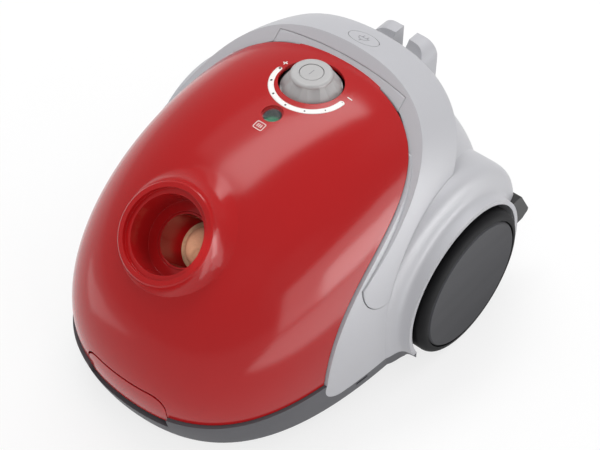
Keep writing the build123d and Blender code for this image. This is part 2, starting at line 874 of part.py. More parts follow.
with BuildPart() as power_button:
    with BuildSketch(Plane.XY.offset(knob_top - button_depth)):
        with Locations((0, knob_y)):
            Circle(button_radius)
    extrude(amount=button_depth)
    chamfer(power_button.faces().sort_by(Axis.Z)[-1].edges(), button_edge)
finish(power_button, "power_button")

with BuildPart() as speed_control:
    with BuildSketch(Plane.XY.offset(deck_top)):
        with Locations((0, knob_y)):
            Rectangle(control_length, control_width)
    extrude(amount=control_height)
    with BuildSketch(Plane.XY.offset(deck_top + control_height)):
        with Locations((0, knob_y)):
            Circle(knob_stem_radius + control_collar)
    extrude(amount=control_height)
    with BuildSketch(Plane.XY.offset(deck_top + control_bore)):
        with Locations((0, knob_y)):
            Circle(knob_stem_radius + running_fit)
    extrude(amount=far, mode=Mode.SUBTRACT)
finish(speed_control, "speed_control")

# Bag-full indicator
indicator_floor = heart_z + crown_rise - lens_sink - indicator_depth
with BuildPart() as indicator_cup:
    with BuildSketch(Plane.XY.offset(indicator_floor)):
        with Locations((0, indicator_y)):
            Circle(indicator_radius + indicator_wall)
    extrude(amount=indicator_depth)
    with BuildSketch(Plane.XY.offset(indicator_floor + indicator_wall)):
        with Locations((0, indicator_y)):
            Circle(float_radius + seat_gap)
    extrude(amount=far, mode=Mode.SUBTRACT)
    add(lid_inside, mode=Mode.INTERSECT)
finish(indicator_cup, "indicator_cup")

with BuildPart() as indicator_float:
    with BuildSketch(Plane.XY.offset(indicator_floor + indicator_wall + seat_gap)):
        with Locations((0, indicator_y)):
            Circle(float_radius)
    extrude(amount=float_height)
finish(indicator_float, "indicator_float")

with BuildPart() as indicator_lens:
    with BuildSketch(Plane.XY.offset(deck_z)):
        with Locations((0, indicator_y)):
            Circle(indicator_radius - seat_gap)
    extrude(amount=far)
    add(egg(lid_inset + lens_sink, lid_inset, bow_stretch), mode=Mode.INTERSECT)
    add(egg(lid_inset + lens_sink + lens_thickness, lid_inset, bow_stretch), mode=Mode.SUBTRACT)
finish(indicator_lens, "indicator_lens")

# Wheels, one set each side
shoulder_bend = tyre_shoulder * (1 - cos(radians(45)))
cap_radius = hub_radius - cap_groove
dish_radius = ((cap_radius - cap_edge) ** 2 + cap_dish ** 2) / (2 * cap_dish)
for name, side in (("left", 1), ("right", -1)):
    face = side * wheel_outer_x
    tyre_in = face - side * tyre_width
    tyre_face = face - side * tyre_inset
    cap_in = face - side * cap_thickness
    web_in = cap_in - side * hub_wall
    with BuildPart() as tyre:
        with BuildSketch(wheel_plane):
            with BuildLine():
                tread = (tyre_face - side * tyre_shoulder, wheel_radius)
                wall_top = (tyre_face, wheel_radius - tyre_shoulder)
                bend = (tyre_face - side * shoulder_bend, wheel_radius - shoulder_bend)
                Polyline(wall_top, (tyre_face, hub_radius), (tyre_in, hub_radius), (tyre_in, wheel_radius - corner_round),
                         (tyre_in + side * corner_round, wheel_radius), tread)
                ThreePointArc(tread, bend, wall_top)
            make_face()
        revolve(axis=wheel_axis)
    finish(tyre, f"tyre_{name}")
    with BuildPart() as hub:
        with BuildSketch(wheel_plane):
            with BuildLine():
                boss = axle_radius + hub_boss_wall
                bore = axle_radius + running_fit
                Polyline((tyre_in, hub_radius), (tyre_in, hub_radius - hub_wall), (web_in, hub_radius - hub_wall),
                         (web_in, boss), (tyre_in, boss), (tyre_in, bore), (cap_in, bore), (cap_in, hub_radius),
                         close=True)
            make_face()
        revolve(axis=wheel_axis)
    finish(hub, f"wheel_hub_{name}")
    with BuildPart() as cap:
        with BuildSketch(wheel_plane):
            with BuildLine():
                Polyline((face, 0), (cap_in, 0), (cap_in, cap_radius), (face - side * cap_edge, cap_radius),
                         (face, cap_radius - cap_edge), close=True)
            make_face()
        revolve(axis=wheel_axis)
        with Locations((face + side * (dish_radius - cap_dish), wheel_y, wheel_radius)):
            Sphere(dish_radius, rotation=(0, 0, 90 - 90 * side), mode=Mode.SUBTRACT)
        with BuildSketch(Plane.YZ.offset(cap_in)):
            with Locations((wheel_y, wheel_radius)):
                Circle(axle_radius + corner_round)
        extrude(amount=side * cap_pocket, mode=Mode.SUBTRACT)
    finish(cap, f"hub_cap_{name}")
    with BuildPart() as axle:
        with BuildSketch(Plane.YZ.offset(side * axle_inner_x)):
            with Locations((wheel_y, wheel_radius)):
                Circle(axle_radius)
        extrude(amount=side * (wheel_outer_x - axle_tip - axle_inner_x))
    finish(axle, f"axle_{name}")
    with BuildPart() as lug:
        with BuildSketch(Plane.YZ.offset(side * lug_x)):
            with BuildLine():
                FilletPolyline((wheel_y, lug_low), (lug_heel_y, lug_low), lug_tip, lug_top, (wheel_y, lug_top[1]),
                               radius=lug_round, close=True)
            make_face()
        extrude(amount=lug_width / 2, both=True)
        add(wheel_bulge.part, mode=Mode.SUBTRACT)
        add(wheel_space.part, mode=Mode.SUBTRACT)
    finish(lug, f"stand_lug_{name}")

# Front caster and the cup that carries its stem
caster_axle = (caster_y + caster_trail, caster_radius)
cheek_x = caster_width / 2 + caster_cheek_gap + caster_cheek / 2
with BuildPart() as caster_cup:
    with BuildSketch(Plane.XY.offset(base_bottom)):
        with Locations((0, caster_y)):
            Circle(cup_radius + cup_wall)
    extrude(amount=cup_roof + cup_wall - base_bottom)
    with BuildSketch(Plane.XY.offset(floor_z)):
        with Locations((0, caster_y)):
            Circle(cup_radius + cup_wall + cup_flange)
    extrude(amount=cup_wall)
    with BuildSketch(Plane.XY.offset(cup_roof)):
        with Locations((0, caster_y)):
            Circle(cup_boss_radius)
    extrude(amount=tray_z - cup_roof)
    with BuildSketch(Plane.XY.offset(base_bottom)):
        with Locations((0, caster_y)):
            Circle(cup_radius)
    extrude(amount=cup_roof - base_bottom, mode=Mode.SUBTRACT)
    with BuildSketch(Plane.XY.offset(base_bottom)):
        with Locations((0, caster_y)):
            Circle(caster_stem_radius + running_fit)
    extrude(amount=tray_z - base_bottom, mode=Mode.SUBTRACT)
finish(caster_cup, "caster_cup")

with BuildPart() as caster_fork:
    with BuildSketch(Plane.XY.offset(caster_plate_z)):
        with Locations((0, caster_y)):
            Circle(caster_plate_radius)
    extrude(amount=caster_plate)
    with BuildSketch(Plane.XY.offset(caster_plate_z)):
        with Locations((0, caster_y)):
            Circle(caster_stem_radius)
    extrude(amount=tray_z - part_gap - caster_plate_z)
    for side in (-1, 1):
        with BuildSketch(Plane.YZ.offset(side * cheek_x)):
            with Locations(caster_axle):
                Circle(caster_eye_radius)
                Rectangle(2 * caster_eye_radius, caster_plate_z - caster_radius, align=(Align.CENTER, Align.MIN))
        extrude(amount=caster_cheek / 2, both=True)
    with BuildSketch(Plane.YZ):
        with Locations(caster_axle):
            Circle(caster_pin_radius)
    extrude(amount=far, both=True, mode=Mode.SUBTRACT)
finish(caster_fork, "caster_fork")

with BuildPart() as caster_wheel:
    with BuildSketch(Plane.YZ):
        with Locations(caster_axle):
            Circle(caster_radius)
            Circle(caster_pin_radius + running_fit, mode=Mode.SUBTRACT)
    extrude(amount=caster_width / 2, both=True)
    chamfer(caster_wheel.edges().filter_by(GeomType.CIRCLE).sort_by(SortBy.RADIUS)[-2:], caster_edge)
finish(caster_wheel, "caster_wheel")

with BuildPart() as caster_pin:
    with BuildSketch(Plane.YZ):
        with Locations(caster_axle):
            Circle(caster_pin_radius)
    extrude(amount=cheek_x + caster_cheek / 2, both=True)
finish(caster_pin, "caster_pin")

# Dust tray and bulkhead
tray_slab = slab(tray_z, tray_z + tray_plate)
with BuildPart() as dust_tray:
    add(egg(base_wall + seat_gap))
    add(tray_slab, mode=Mode.INTERSECT)
    add(rear_region, mode=Mode.SUBTRACT)
    add(inner_fit & tray_slab)
    add(front_half(bulkhead_y), mode=Mode.INTERSECT)
    add(wheel_pan.part, mode=Mode.SUBTRACT)
    add(front_half(hook_reach + tray_setback), mode=Mode.SUBTRACT)
finish(dust_tray, "dust_tray")

window_z = (window_low + window_high) / 2
window_height = window_high - window_low
bulkhead_back = Plane.XZ.offset(-bulkhead_y - bulkhead)
with BuildPart() as bulkhead_wall:
    add(inner_fit)
    add(slab(floor_z, deck_z), mode=Mode.INTERSECT)
    with BuildSketch(bulkhead_back):
        Rectangle(2 * far, 2 * far)
    extrude(amount=bulkhead, mode=Mode.INTERSECT)
    add(wheel_pan.part, mode=Mode.SUBTRACT)
    with BuildSketch(bulkhead_back):
        with Locations((0, window_z)):
            RectangleRounded(2 * window_half_x, window_height, window_corner)
            with GridLocations(window_half_x / 2, 0, 3, 1):
                Rectangle(window_bar, window_height, mode=Mode.SUBTRACT)
            with GridLocations(0, window_height / 3, 1, 2):
                Rectangle(2 * window_half_x, window_bar, mode=Mode.SUBTRACT)
    extrude(amount=bulkhead, mode=Mode.SUBTRACT)
finish(bulkhead_wall, "bulkhead")

with BuildPart() as filter_frame:
    with BuildSketch(Plane.XZ.offset(-bulkhead_y)):
        with Locations((0, window_z)):
            RectangleRounded(2 * (window_half_x + filter_border), window_height + 2 * filter_border, window_corner)
            RectangleRounded(2 * window_half_x, window_height, window_corner - corner_round, mode=Mode.SUBTRACT)
    extrude(amount=filter_frame_depth)
finish(filter_frame, "filter_frame")

with BuildPart() as motor_filter:
    with BuildSketch(Plane.XZ.offset(-bulkhead_y)):
        with Locations((0, window_z)):
            RectangleRounded(2 * window_half_x, window_height, window_corner - corner_round)
    extrude(amount=filter_pad_depth)
finish(motor_filter, "motor_filter")

# Bag holder, card collar and paper bag
collar_back = inlet_plane.offset(-sleeve_bottom - collar_plate - collar_play)
holder_back = collar_back.offset(-holder_plate)
with BuildPart() as bag_holder:
    with BuildSketch(holder_back):
        RectangleRounded(2 * (collar_half_x + holder_rim), 2 * (collar_half_length + holder_rim), window_corner)
        RectangleRounded(2 * (collar_half_x - holder_lap), 2 * (collar_half_length - holder_lap),
                         window_corner - corner_round, mode=Mode.SUBTRACT)
    extrude(amount=holder_plate)
    for side in (-1, 1):
        with BuildSketch(Plane.XY.offset(tray_z + tray_plate)):
            with Locations((side * (collar_half_x - corner_round), holder_post_y)):
                Rectangle(holder_post_width, holder_post_depth)
        extrude(amount=bag_height)
    with BuildSketch(collar_back):
        Rectangle(far, far)
    extrude(amount=far, mode=Mode.SUBTRACT)
finish(bag_holder, "bag_holder")

with BuildPart() as bag_collar:
    with BuildSketch(collar_back):
        RectangleRounded(2 * collar_half_x, 2 * collar_half_length, collar_corner)
        Circle(sleeve_radius + collar_play, mode=Mode.SUBTRACT)
    extrude(amount=collar_plate)
finish(bag_collar, "bag_collar")

with BuildPart() as dust_bag:
    add(egg(bag_inset))
    with BuildSketch(Plane.XY.offset(tray_z + tray_plate + seat_gap)):
        with Locations((0, bag_y)):
            RectangleRounded(bag_width, bag_length, bag_corner)
    extrude(amount=bag_height, mode=Mode.INTERSECT)
    with BuildSketch(holder_back.offset(-seat_gap)):
        Rectangle(2 * far, 2 * far)
    extrude(amount=far, mode=Mode.SUBTRACT)
finish(dust_bag, "dust_bag")

# Motor with fan, turned about a lengthwise axis
motor_plane = Plane((0, 0, motor_z), x_dir=(0, 1, 0), z_dir=(1, 0, 0))
motor_axis = Axis((0, 0, motor_z), (0, 1, 0))
shroud_back = shroud_front + shroud_length
shroud_inner = shroud_radius - shroud_wall
can_front = shroud_back - shroud_wall
can_back = shroud_back + can_length
fan_front = shroud_front + impeller_front
fan_back = fan_front + impeller_length
shaft_bore = shaft_radius + running_fit


def lathe(points, name):
    """Piece turned about the motor axis from (station, radius) points."""
    with BuildPart() as piece:
        with BuildSketch(motor_plane):
            with BuildLine():
                Polyline(*points, close=True)
            make_face()
        revolve(axis=motor_axis)
    finish(piece, name)


lathe([(shroud_front, shroud_eye), (shroud_front, shroud_radius), (shroud_back, shroud_radius),
       (shroud_back, can_radius), (can_front, can_radius), (can_front, shroud_inner),
       (shroud_front + shroud_wall, shroud_inner), (shroud_front + shroud_wall, shroud_eye)], "fan_shroud")
lathe([(can_front, shaft_bore), (can_front, can_radius), (can_back, can_radius), (can_back, shaft_bore)], "motor_can")
lathe([(fan_front - impeller_cone, 0), (fan_front - impeller_cone, shaft_radius),
       (can_back + shaft_overhang, shaft_radius), (can_back + shaft_overhang, 0)], "motor_shaft")
lathe([(fan_front + impeller_cone, shaft_radius), (fan_front + impeller_cone, impeller_eye),
       (fan_front, impeller_radius), (fan_back, impeller_radius), (fan_back, shaft_radius)], "fan_impeller")
lathe([(bulkhead_y + bulkhead, seal_inner), (bulkhead_y + bulkhead, seal_outer), (shroud_front, seal_outer),
       (shroud_front, seal_inner)], "motor_front_seal")

with BuildPart() as motor_cradle:
    with BuildSketch(Plane.XZ.offset(cradle_setback - can_back)):
        with Locations((0, floor_z)):
            Rectangle(cradle_width, motor_z - floor_z, align=(Align.CENTER, Align.MIN))
        with Locations((0, motor_z)):
            Circle(can_radius, mode=Mode.SUBTRACT)
    extrude(amount=cradle_depth)
finish(motor_cradle, "motor_cradle")

# Cord reel on its stand
reel_plane = Plane((0, 0, reel_z), x_dir=(0, 1, 0), z_dir=(1, 0, 0))
reel_axis = Axis((0, 0, reel_z), (0, 1, 0))
reel_back = reel_front + reel_width
with BuildPart() as cord_reel:
    with BuildSketch(reel_plane):
        with BuildLine():
            Polyline((reel_front, shaft_bore), (reel_front, reel_radius), (reel_front + reel_flange, reel_radius),
                     (reel_front + reel_flange, reel_hub_radius), (reel_back - reel_flange, reel_hub_radius),
                     (reel_back - reel_flange, reel_radius), (reel_back, reel_radius), (reel_back, shaft_bore),
                     close=True)
        make_face()
    revolve(axis=reel_axis)
finish(cord_reel, "cord_reel")

stand_back = Plane.XZ.offset(-reel_back - stand_gap - stand_plate)
with BuildPart() as reel_stand:
    with BuildSketch(stand_back):
        with Locations((0, floor_z)):
            Rectangle(stand_width, reel_z - floor_z, align=(Align.CENTER, Align.MIN))
        with Locations((0, reel_z)):
            Circle(stand_width / 2)
    extrude(amount=stand_plate)
    with BuildSketch(stand_back):
        with Locations((0, reel_z)):
            Circle(shaft_radius)
    extrude(amount=reel_width + stand_gap + stand_plate)
finish(reel_stand, "reel_stand")

# Brake lever beside the reel and the arm that carries it
with BuildPart() as brake_lever:
    with BuildSketch(Plane.XZ.offset(-reel_back)):
        with Locations((brake_x, brake_z)):
            SlotOverall(brake_length, brake_width, rotation=90)
            Circle(brake_bore, mode=Mode.SUBTRACT)
    extrude(amount=brake_thickness)
finish(brake_lever, "brake_lever")

with BuildPart() as brake_bracket:
    with BuildSketch(stand_back):
        with Locations((brake_x, brake_z)):
            Circle(brake_bore - running_fit)
    extrude(amount=stand_plate + stand_gap + brake_thickness)
    with BuildSketch(stand_back):
        with Locations((brake_arm_start, brake_z)):
            Rectangle(brake_x + brake_width / 2 - brake_arm_start, brake_width, align=(Align.MIN, Align.CENTER))
    extrude(amount=stand_plate)
    add(reel_stand.part, mode=Mode.SUBTRACT)
finish(brake_bracket, "brake_bracket")

# Exhaust grille, filter and cord outlet
grille_z = (grille_low + grille_high) / 2
grille_height = grille_high - grille_low
with BuildPart() as exhaust_grille:
    add(casing)
    add(casing_seat, mode=Mode.SUBTRACT)
    with BuildSketch(rear_plane):
        with Locations((0, grille_z)):
            RectangleRounded(2 * grille_half_x, grille_height, grille_corner)
            with GridLocations(0, grille_pitch, 1, grille_slots):
                SlotOverall(2 * (grille_half_x - grille_slot_margin), grille_slot, mode=Mode.SUBTRACT)
    extrude(amount=-far, mode=Mode.INTERSECT)
finish(exhaust_grille, "exhaust_grille")

with BuildPart() as exhaust_filter:
    add(inner_fit)
    add(egg(housing_wall + seat_gap + filter_depth), mode=Mode.SUBTRACT)
    with BuildSketch(rear_plane):
        with Locations((0, grille_z)):
            RectangleRounded(2 * (grille_half_x + filter_rim), grille_height + 2 * filter_rim, grille_corner)
    extrude(amount=-far, mode=Mode.INTERSECT)
finish(exhaust_filter, "exhaust_filter")

with BuildPart() as cord_outlet:
    add(casing)
    add(casing_inside, mode=Mode.SUBTRACT)
    with BuildSketch(rear_plane):
        with Locations((outlet_x, outlet_z)):
            Circle(outlet_radius)
            Circle(outlet_radius - outlet_wall, mode=Mode.SUBTRACT)
    extrude(amount=-far, mode=Mode.INTERSECT)
finish(cord_outlet, "cord_outlet")
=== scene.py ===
# %% [markdown]
# # A canister vacuum cleaner, finished for its portrait
# The engineering model gives every shell, wheel and pin its place. This lesson adds what the eye
# reads: the skin of each plastic, the printed scale, the paper bag, and soft studio light.
# Everything is in metres, with +Z up and the hose inlet towards -Y.

# %% Load the frame
import json
import math

import bmesh
import bpy
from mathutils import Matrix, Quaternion, Vector, noise
from mathutils.bvhtree import BVHTree


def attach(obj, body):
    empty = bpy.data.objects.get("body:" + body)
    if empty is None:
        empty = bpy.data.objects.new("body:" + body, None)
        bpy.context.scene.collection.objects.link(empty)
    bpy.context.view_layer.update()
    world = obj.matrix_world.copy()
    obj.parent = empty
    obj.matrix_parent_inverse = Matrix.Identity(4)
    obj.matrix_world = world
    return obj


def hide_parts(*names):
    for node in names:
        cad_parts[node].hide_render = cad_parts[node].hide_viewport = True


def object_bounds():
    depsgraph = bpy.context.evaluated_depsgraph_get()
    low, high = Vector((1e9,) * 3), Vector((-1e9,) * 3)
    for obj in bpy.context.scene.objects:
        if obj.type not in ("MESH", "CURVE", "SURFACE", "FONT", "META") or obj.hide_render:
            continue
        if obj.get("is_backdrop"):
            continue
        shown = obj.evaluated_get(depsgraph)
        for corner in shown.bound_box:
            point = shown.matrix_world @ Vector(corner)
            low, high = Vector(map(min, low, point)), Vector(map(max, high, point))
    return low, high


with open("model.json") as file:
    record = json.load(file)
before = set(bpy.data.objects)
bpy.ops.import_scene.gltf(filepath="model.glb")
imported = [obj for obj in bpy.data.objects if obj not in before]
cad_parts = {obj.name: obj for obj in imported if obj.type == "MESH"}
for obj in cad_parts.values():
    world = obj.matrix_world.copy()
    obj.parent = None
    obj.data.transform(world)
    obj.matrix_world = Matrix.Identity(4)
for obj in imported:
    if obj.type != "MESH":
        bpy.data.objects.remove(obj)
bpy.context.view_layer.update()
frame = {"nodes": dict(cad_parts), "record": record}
scene = bpy.context.scene
scene.view_settings.view_transform = "Standard"
print("pieces in the frame:", len(frame["nodes"]))

# %% [markdown]
# ## Camera
# The machine is seen from above its front left corner through a long lens, so its sides stay almost
# parallel. A camera could be aimed with a constraint; a fixed place, an aim point and a small roll
# are easier to read and to repeat.

# %% Camera
camera_place = Vector((0.5438, -0.6379, 0.9686))
camera_aim = Vector((0.0217, 0.0010, 0.0974))
camera = bpy.data.objects.new("camera", bpy.data.cameras.new("camera"))
camera.data.lens = 94.96
camera.data.sensor_width = 36.0
camera.location = camera_place
camera.rotation_mode = "QUATERNION"
aimed = (camera_aim - camera_place).to_track_quat("-Z", "Y")
camera.rotation_quaternion = aimed @ Quaternion((0, 0, 1), math.radians(1.11))
scene.collection.objects.link(camera)
scene.camera = camera
print("camera looks from", [round(v, 3) for v in camera.location])

# %% [markdown]
# ## Colour and node helpers
# Colours are written as the hex values a colour picker shows. Blender's shaders work in linear light,
# so one function translates. A second one adds a node with its settings, constants and wires.

# %% Colour and node helpers
def linear(code):
    """Hex colour to linear RGBA."""
    parts = [int(code[i:i + 2], 16) / 255 for i in (1, 3, 5)]
    return [c / 12.92 if c <= 0.04045 else ((c + 0.055) / 1.055) ** 2.4 for c in parts] + [1.0]


def add_node(tree, kind, values=None, wires=None, **settings):
    """Add a node with its settings, constant inputs and wired inputs."""
    made = tree.nodes.new(kind)
    for name, value in settings.items():
        setattr(made, name, value)
    for name, value in (values or {}).items():
        made.inputs[name].default_value = value
    for name, source in (wires or {}).items():
        tree.links.new(source, made.inputs[name])
    return made


def per_metre(size_mm):
    """Texture scale that gives features of this size."""
    return 1000.0 / size_mm


def new_material(name):
    """Empty node material and its output."""
    material = bpy.data.materials.new(name)
    material.use_nodes = True
    material.node_tree.nodes.clear()
    return material, add_node(material.node_tree, "ShaderNodeOutputMaterial")


# %% [markdown]
# ## Floor and studio light
# A product picture has a white sweep under the object, pale walls and a darker ceiling with large
# soft lamps. The floor is a pale matt sheet that also glows a little, for the camera and for
# mirror-like rays alike, so it stays white without more light on the machine.

# %% Floor
def white_sweep(glow_share):
    """Pale floor that stays near white and keeps the soft shadow."""
    material, out = new_material("white_paper_sweep")
    tree = material.node_tree
    path = add_node(tree, "ShaderNodeLightPath")
    seen = path.outputs["Is Camera Ray"]
    for kind in ("Is Glossy Ray", "Is Transmission Ray"):
        either = add_node(tree, "ShaderNodeMath", {}, {0: seen, 1: path.outputs[kind]}, operation="MAXIMUM")
        seen = either.outputs[0]
    share = add_node(tree, "ShaderNodeMath", {1: glow_share}, {0: seen}, operation="MULTIPLY")
    paper = add_node(tree, "ShaderNodeBsdfDiffuse", {"Color": linear("#F7F7F7")})
    glow = add_node(tree, "ShaderNodeEmission", {"Color": (1, 1, 1, 1), "Strength": 1.0})
    mix = add_node(tree, "ShaderNodeMixShader", {},
                   {0: share.outputs[0], 1: paper.outputs[0], 2: glow.outputs[0]})
    tree.links.new(mix.outputs[0], out.inputs["Surface"])
    return material


reach = 8.0
floor_mesh = bpy.data.meshes.new("floor")
floor_mesh.from_pydata([(-reach, -reach, 0), (reach, -reach, 0), (reach, reach, 0), (-reach, reach, 0)], [],
                       [(0, 1, 2, 3)])
floor = bpy.data.objects.new("floor", floor_mesh)
floor_mesh.materials.append(white_sweep(glow_share=0.75))
scene.collection.objects.link(floor)
floor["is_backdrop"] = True
print("floor is", floor.dimensions.x, "m wide")

# %% Walls and ceiling
world = bpy.data.worlds.new("studio")
scene.world = world
world.use_nodes = True
world.node_tree.nodes.clear()
world_out = add_node(world.node_tree, "ShaderNodeOutputWorld")
direction = add_node(world.node_tree, "ShaderNodeTexCoord")
height = add_node(world.node_tree, "ShaderNodeSeparateXYZ", {}, {0: direction.outputs["Generated"]})
wall_level, ceiling_level = 0.62, 0.52
strength = add_node(world.node_tree, "ShaderNodeMapRange",
                    {"From Min": 0.02, "From Max": 0.60, "To Min": wall_level, "To Max": ceiling_level},
                    {"Value": height.outputs["Z"]}, interpolation_type="SMOOTHSTEP")
sky = add_node(world.node_tree, "ShaderNodeBackground", {"Color": (1, 1, 1, 1)},
               {"Strength": strength.outputs[0]})
world.node_tree.links.new(sky.outputs[0], world_out.inputs["Surface"])
print("walls at", wall_level, "and ceiling at", ceiling_level)

# %% [markdown]
# ## Softboxes
# On a glossy shell a lamp is two things: light on the colour and a bright shape in the gloss. A
# photographer keeps them apart with flags and cards. Here a lamp may do only one of the two: strips
# and cards show in the gloss alone, fills brighten the colour alone, and the two overhead boxes do
# both, the right edge of the first giving the lid its one crisp highlight. A snoot, which is a lamp
# with a narrow tube, shines down the hose socket.

# %% Softboxes
def hang(lamp, place, aim, spin=0.0, mirrored=True, filling=True):
    """Put a lamp in its place, turned towards a point and out of the camera's sight."""
    holder = bpy.data.objects.new(lamp.name, lamp)
    holder.location = place
    holder.rotation_mode = "QUATERNION"
    aimed = (Vector(aim) - Vector(place)).to_track_quat("-Z", "Y")
    holder.rotation_quaternion = aimed @ Quaternion((0, 0, 1), math.radians(spin))
    holder.visible_camera = False
    holder.visible_glossy = mirrored
    holder.visible_diffuse = filling
    scene.collection.objects.link(holder)


def softbox(name, place, aim, size, power, **manner):
    """Large soft rectangular lamp."""
    lamp = bpy.data.lights.new(name, "AREA")
    lamp.shape = "RECTANGLE"
    lamp.size, lamp.size_y = size
    lamp.energy = power
    hang(lamp, place, aim, **manner)


ceiling_turn = -13
softbox("overhead_softbox", (-0.35, 0.55, 1.45), (-0.35, 0.55, 0.0), (0.46, 1.50), 11, spin=ceiling_turn)
softbox("overhead_wing", (-0.82, 0.66, 1.45), (-0.82, 0.66, 0.0), (0.50, 1.50), 1.6, spin=ceiling_turn)
# Gloss only: a strip with a halo beside the right flank, and two cards on the floor
softbox("right_strip", (0.62, 0.20, 0.12), (0.1, 0, 0.12), (0.45, 0.18), 1.2, filling=False)
softbox("right_halo", (0.72, 0.16, 0.19), (0.1, 0, 0.14), (0.95, 0.36), 2.9, filling=False)
softbox("right_card", (0.48, 0.05, 0.004), (0.48, 0.05, 1.0), (0.40, 0.60), 2.0, filling=False)
softbox("front_card", (-0.40, -0.46, 0.004), (-0.40, -0.46, 1.0), (0.36, 0.36), 0.5, filling=False)
# Fill only, from four sides
softbox("right_fill", (1.20, -0.35, 0.75), (0.05, 0, 0.12), (0.7, 0.6), 3.2, mirrored=False)
softbox("camera_fill", (0.72, -0.84, 1.28), (0, 0, 0.12), (0.6, 0.6), 1.8, mirrored=False)
softbox("front_fill", (-0.95, -1.25, 0.75), (0, -0.05, 0.10), (0.8, 0.6), 1.5, mirrored=False)
softbox("rear_fill", (0.55, 1.25, 1.35), (0, 0.05, 0.12), (0.8, 0.8), 4, mirrored=False)

snoot = bpy.data.lights.new("socket_snoot", "SPOT")
snoot.spot_size = math.radians(2.4)
snoot.spot_blend = 0.6
snoot.shadow_soft_size = 0.01
snoot.energy = 18
hang(snoot, (0.344, -0.444, 0.673), (-0.010, -0.087, 0.124), mirrored=False)

# %% [markdown]
# ## Moulded plastics
# Nearly everything outside is injection-moulded plastic. What tells one part from another is how the
# mould was finished: polished steel gives the lid its gloss with a faint orange-peel, spark-eroded
# steel gives the grey shells their fine satin grain. One function covers the family: a colour that
# drifts very slightly, edges painted paler as a painted highlight that also stands for a little
# wear, a roughness with wipe marks, and a grain in the bump. The Bevel node rounds sharp
# edges for the light and also finds them.

# %% Moulded plastics
def moulded(name, colour, shade, edge_highlight_and_wear, roughness, drift, grain_mm, depth_mm, ior=1.53, specular=0.5):
    """Injection-moulded plastic with a grain of the given size and depth."""
    material, out = new_material(name)
    tree = material.node_tree
    where = add_node(tree, "ShaderNodeTexCoord").outputs["Object"]
    cloud = add_node(tree, "ShaderNodeTexNoise", {"Scale": per_metre(70), "Detail": 2.0}, {"Vector": where})
    tint = add_node(tree, "ShaderNodeMix", {6: linear(colour), 7: linear(shade)}, {0: cloud.outputs["Fac"]},
                    data_type="RGBA")
    rounded = add_node(tree, "ShaderNodeBevel", {"Radius": 0.0005}, samples=4)
    rounded.name = "edge rounding"
    flat = add_node(tree, "ShaderNodeNewGeometry")
    turn = add_node(tree, "ShaderNodeVectorMath", {}, {0: rounded.outputs[0], 1: flat.outputs["Normal"]},
                    operation="DOT_PRODUCT")
    # Painted highlight with a little wear: edges found by the Bevel node get the paler colour.
    edge = add_node(tree, "ShaderNodeMapRange",
                    {"From Min": 0.98, "From Max": 0.75, "To Min": 0.0, "To Max": 0.6},
                    {"Value": turn.outputs["Value"]})
    lit_and_worn_edges = add_node(tree, "ShaderNodeMix", {7: linear(edge_highlight_and_wear)}, {0: edge.outputs[0], 6: tint.outputs[2]},
                    data_type="RGBA")
    streak = add_node(tree, "ShaderNodeMapping", {"Rotation": (0.3, 0.2, 0.7), "Scale": (1.0, 0.12, 1.0)},
                      {"Vector": where})
    wipe = add_node(tree, "ShaderNodeTexNoise", {"Scale": per_metre(14), "Detail": 5.0},
                    {"Vector": streak.outputs[0]})
    gloss = add_node(tree, "ShaderNodeMapRange", {"To Min": roughness - drift, "To Max": roughness + drift},
                     {"Value": wipe.outputs["Fac"]})
    grain = add_node(tree, "ShaderNodeTexNoise", {"Scale": per_metre(grain_mm), "Detail": 2.0},
                     {"Vector": where})
    bump = add_node(tree, "ShaderNodeBump", {"Strength": 1.0, "Distance": depth_mm / 1000},
                    {"Height": grain.outputs["Fac"], "Normal": rounded.outputs[0]})
    skin = add_node(tree, "ShaderNodeBsdfPrincipled",
                    {"IOR": ior, "Specular IOR Level": specular},
                    {"Base Color": lit_and_worn_edges.outputs[2], "Roughness": gloss.outputs[0], "Normal": bump.outputs[0]})
    tree.links.new(skin.outputs[0], out.inputs["Surface"])
    return material


# In each plastic below, the fourth colour is its paler edge colour: painted highlight with a little wear.
# Polished mould: high gloss with a slight orange-peel several millimetres across
gloss_red = moulded("gloss_red_abs", "#AE1618", "#A81416", "#B41C1E", roughness=0.16, drift=0.015,
                    grain_mm=8.0, depth_mm=0.003, ior=1.54, specular=0.27)
# Spark-eroded moulds: satin, with a grain drawn at twice its real size so that it shows
satin_grey = moulded("satin_light_grey_abs", "#B7B7BB", "#B3B3B8", "#C2C2C6", roughness=0.42, drift=0.04,
                     grain_mm=1.0, depth_mm=0.008)
dark_grey = moulded("grained_dark_grey_polypropylene", "#5E5E62", "#59595D", "#6C6C70", roughness=0.50,
                    drift=0.05, grain_mm=1.2, depth_mm=0.014, ior=1.50, specular=0.2)
hub_grey = moulded("satin_hub_abs", "#343438", "#303034", "#424246", roughness=0.48, drift=0.04,
                   grain_mm=1.0, depth_mm=0.008, specular=0.14)
knob_grey = moulded("satin_knob_abs", "#B2B1B1", "#ADACAC", "#CACACA", roughness=0.36, drift=0.05,
                    grain_mm=0.9, depth_mm=0.006, specular=0.4)
lug_black = moulded("black_polyamide", "#171718", "#141415", "#2A2A2B", roughness=0.40, drift=0.06,
                    grain_mm=1.2, depth_mm=0.012, specular=0.3)
inner_grey = moulded("unpainted_inner_abs", "#58585B", "#535356", "#626265", roughness=0.50, drift=0.06,
                     grain_mm=1.5, depth_mm=0.012)
# Soft tyre: dull, as rubber-like plastics are
tyre_grey = moulded("soft_grey_tyre_elastomer", "#111113", "#0E0E10", "#222224", roughness=0.60, drift=0.06,
                    grain_mm=1.5, depth_mm=0.012, ior=1.50, specular=0.1)
